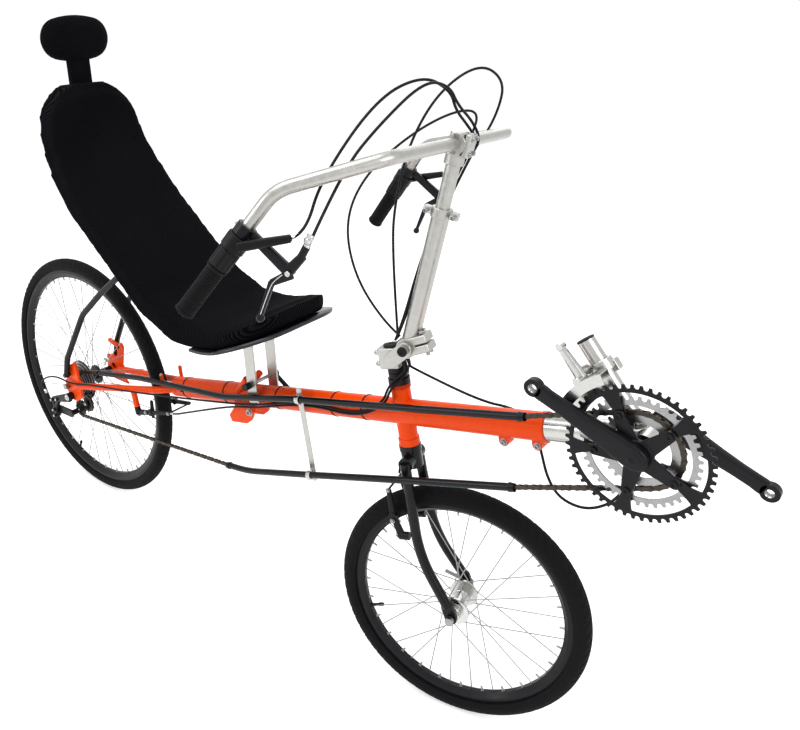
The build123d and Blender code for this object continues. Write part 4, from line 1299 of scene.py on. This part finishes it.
# caps on the derailleur's post, the steerer and the pivot's two sides, the pedal eyes'
# threads, and caps on the cranks
threadForm = [point for i in range(10) for point in ((6.85, -6.6 + i * 1.3), (6.4, -6 + i * 1.3))]
threadForm += [(6.85, 6.6), (7.6, 7.05), (7.6, -6.7)]
caps = {
    "mechPostCap": ("softBlack", "frame", [
        (lathe, facing(postTop, postTop - postFoot),
         ((0, -0.3), (14.4, -0.3), (14.4, 1.6), (13.2, 2.6), (10, 2.9), (9.2, 2.2), (0, 2.2)),
         36)]),
    "steererCap": ("softBlack", "steering", [
        (lathe, facing(onSteer(stemUp + 20.3, -4), steerDir),
         ((0, -0.3), (15.6, -0.3), (15.6, 2), (14, 3.2), (5.4, 3.4), (4.6, 2.4), (0, 2.4)),
         36)]),
    "pivotCaps": ("softBlack", "tiller", [
        (sideLathe, pivot, left,
         ((0, -0.4), (9.4, -0.4), (9.4, 1.6), (8, 2.4), (4.6, 2.4), (4.2, 1), (0, 1)), 32)
        for left in (-36, 36)]),
    "pedalThreads": ("machined", "crankset", [
        (sideLathe, onCrank(-left * cranks["length"]), left * cranks["eyeY"], threadForm, 28)
        for left in (-1, 1)]),
    "crankCaps": ("softBlack", "crankset", [
        (sideLathe, bracket, left, ((0, -2), (10.6, -2), (10.6, 0.4), (9.4, 1.2), (4.4, 1.2),
                                    (4.0, 0.2), (0, 0.2)), 32) for left in (-77, 77)]),
}
for name, facts in caps.items():
    build(name, *facts)
print("bars, levers and caps ready")

# cables: black housing on smooth lines, with bright ends; on the bars their points are ahead,
# left and up from the bar clamp, the first one at the pivot and the last at a lever
cables = dict(radius=2.4, spread=10, underStem=(92, 24), gap=4.4,
              ferrule=((0, -1), (3.1, -1), (3.1, 10), (2.6, 11), (0, 11)))
barRoutes = {
    "shift": ((-80.4, -12.4, -366.8), (-69.1, -9.2, -327.5), (-56.5, 10.3, -232.3),
              (-33.5, 24, -130.4), (7.3, 36.9, -22.5), (20.7, 36.9, 3.8), (4.5, 25.1, 28.2),
              (-4.1, -18.7, 54.9), (-10.8, -31.5, 85.5), (-45.2, -69.8, 109.3),
              (-86.3, -155.1, 76), (-124.2, -259.4, -38.7), (-111.9, -324, -103.6),
              (-128.5, -333, -111.4)),
    "brake": ((-81.4, -4.1, -367.3), (-69.1, 1, -328), (-53.2, 21.9, -231.6),
              (-27.7, 31.5, -130), (14.7, 30.4, -22.8), (28.2, 31.5, 5.5), (12.5, 25.1, 35.2),
              (0.6, -26.1, 64.3), (-10.8, -42.3, 94), (-35.1, -92.1, 102.3),
              (-70.6, -184.3, 36.3), (-92.8, -252.1, -22.9), (-100.7, -332.5, -115.5)),
    "mech": ((-81.4, 4.1, -367.3), (-111.4, 15.5, -198.6), (-114, 26.1, -110),
             (-104.5, 47.8, -14.9), (-67.6, 75.3, 75.5), (-11.4, 120.5, 126.5),
             (20.8, 178.4, 96.1), (7.4, 206.7, 37.3), (-24.8, 218.6, -28.4),
             (-81.2, 271.5, -81.2), (-109.7, 325, -101.5), (-128.5, 333, -111.4)),
    "front": ((-80.4, 12.4, -366.8), (-116.7, 15.5, -346.4), (-192.8, 40.1, -274.1),
              (-230, 64.2, -178.8), (-205.7, 86.5, -90.8), (-135.8, 118.2, -12.7),
              (-68.4, 164.4, 35.5), (-23.5, 197.3, 38.9), (-44, 216.2, -22.5),
              (-87, 273.9, -92.1), (-100.7, 328, -116.5)),
}
# on the frame: a point that steers, then points along, up and left, with a settled index
# among them
frameRoutes = {
    "shift": dict(steered=(84, 18, -26), settled=2, route=(
        (1092, 62, -28), (1072, 26, -29.5), (1001, -4.5, -29), (888, 9.4, -29),
        (800, 2.4, -30), (716, -8, -38), (560, -12, -38), (279, -1, -64), (112, 11, -74),
        (30, 8, -80), (-30, 30, -86), (-84, 26, -92), (-121, 4, -95), (-100, -22, -93))),
    "brake": dict(steered=(82, 24, -18), settled=2, route=(
        (1097, 59, -28), (1076, 22, -29.5), (1001, -9.9, -29), (888, 4, -29), (800, -3, -30),
        (716, -13.6, -38), (640, -17, -37), (472, -49, -35), (411, -61, -36),
        (393, -61, -34))),
    "mech": dict(steered=(86, 24, 8), settled=0, route=(
        (1257, 29, 14), (1312, 15, 30), (1346, -12, 32), (1362, -52, 10), (1374, -95, -3),
        (1394, -128, -5), (1442, -139, -5), (1500, -104, -5), (1543, -27, -5))),
}
frontRoute = ((82, 10, 30), (52, 0, 36), (-50, 0, 36), (-92, -22, 26), (-122, -38, 20),
              (-143, -45, 26))


def cable(bm, points, ends=None):
    line = smoothLine(points, cables["spread"])
    tube(bm, line, cables["radius"])
    if ends:
        lathe(ends, facing(line[-1], line[-6] - line[-1]), cables["ferrule"], 14)


def lowStart(name, left):
    # where a cable crosses the pivot, and its way down through the stem
    end = fromBar(*barRoutes[name][0])
    below = onSteer(*cables["underStem"], left)
    return [end + (below - end).normalized() * cables["gap"] * milli, below]


barCables, barEnds = bmesh.new(), bmesh.new()
for name, route in barRoutes.items():
    cable(barCables, [fromBar(*point) for point in route], barEnds)
finishPiece("barCables", barCables, "black_plastic", "tiller")
finishPiece("barCableEnds", barEnds, "machined", "tiller")

for name, facts in frameRoutes.items():
    start = lowStart(name, barRoutes[name][0][1]) + [onSteer(*facts["steered"])]
    points = [steerTurn @ point for point in start]
    route = [onFrame(*point) for point in facts["route"]]
    housing, end = bmesh.new(), bmesh.new()
    cable(housing, points + route, end)
    piece = finishPiece(name + "FrameCable", housing, "black_plastic", None)
    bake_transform(piece)
    finishPiece(name + "CableEnd", end, "machined", "frame")

build("frontBrakeCable", "black_plastic", "steering", [
    (cable, lowStart("front", 12) + [onSteer(*point) for point in frontRoute])])

print("cables ready")

# room, light and camera
room = dict(floorHeight=-0.7226, size=40, worldLight=0.62, floorGlow=0.46,
            floor=dict(colour=(0.93, 0.93, 0.93), rough=(0.9,), metal=0, specular=0, coat=0))
lamps = {
    "overhead": dict(place=(-0.4, -0.9, 3.4), size=2.6, power=62),
    "leftFront": dict(place=(-1.8, -2.6, 1.5), size=1.6, power=34),
    "rightSide": dict(place=(3.0, -0.6, 1.4), size=1.6, power=26),
    "behind": dict(place=(-0.6, 2.8, 1.8), size=2.4, power=22),
}
lampAim = Vector((0.3, 0, 0))
view = dict(place=(1.1938, -1.1253, 0.6548), azimuth=41.2479, elevation=21.3168,
            lens=dict(sensor_width=36, lens=35.591, shift_x=0.12387, shift_y=-0.08441,
                      clip_start=0.05))


def cameraOrMirror(tree):
    # 1 on rays from the camera, from mirrors and through glass
    rays = addNode(tree, "LightPath")
    value = rays.outputs["Is Camera Ray"]
    for other in ("Is Glossy Ray", "Is Transmission Ray"):
        value = addNode(tree, "Math", {0: value, 1: rays.outputs[other]},
                        operation="MAXIMUM").outputs[0]
    return value


def buildRoom():
    mat, tree, shader = newMaterial("paleFloor", room["floor"])
    strength = addNode(tree, "Math", {0: cameraOrMirror(tree), 1: room["floorGlow"]},
                       operation="MULTIPLY").outputs[0]
    glow = addNode(tree, "Emission", {"Color": (*white, 1), "Strength": strength})
    both = addNode(tree, "AddShader", {0: shader.outputs["BSDF"], 1: glow.outputs["Emission"]})
    tree.links.new(both.outputs[0], tree.nodes["Material Output"].inputs["Surface"])
    half, z = room["size"], room["floorHeight"]
    mesh = bpy.data.meshes.new("floor")
    mesh.from_pydata([(-half, -half, z), (half, -half, z), (half, half, z), (-half, half, z)],
                     [], [(0, 1, 2, 3)])
    mesh.materials.append(mat)
    floor = bpy.data.objects.new("floor", mesh)
    bpy.context.scene.collection.objects.link(floor)


def buildWorld():
    world = bpy.data.worlds.new("studio")
    bpy.context.scene.world = world
    world.use_nodes = True
    tree = world.node_tree
    light = tree.nodes["Background"]
    light.inputs["Color"].default_value = (*white, 1)
    light.inputs["Strength"].default_value = room["worldLight"]
    plain = addNode(tree, "Background", {"Color": (*white, 1), "Strength": 1.0})
    mix = addNode(tree, "MixShader", {"Fac": cameraOrMirror(tree), 1: light.outputs[0],
                                      2: plain.outputs[0]})
    tree.links.new(mix.outputs[0], tree.nodes["World Output"].inputs["Surface"])


def stand(name, data, place, toward):
    thing = bpy.data.objects.new(name, data)
    bpy.context.scene.collection.objects.link(thing)
    thing.location = place
    thing.rotation_euler = toward.to_track_quat("-Z", "Y").to_euler()
    return thing


buildRoom()
buildWorld()
for name, lamp in lamps.items():
    data = bpy.data.lights.new(name, "AREA")
    data.energy = lamp["power"]
    data.size = lamp["size"]
    stand(name, data, lamp["place"], lampAim - Vector(lamp["place"]))
data = bpy.data.cameras.new("frontRight")
for key, value in view["lens"].items():
    setattr(data, key, value)
swing, dip = radians(view["azimuth"]), radians(view["elevation"])
bpy.context.scene.camera = stand("frontRight", data, view["place"],
                                 Vector((-sin(swing) * cos(dip), cos(swing) * cos(dip),
                                         -sin(dip))))
bpy.context.scene.view_settings.view_transform = "Standard"
print("room, lamps and camera ready")
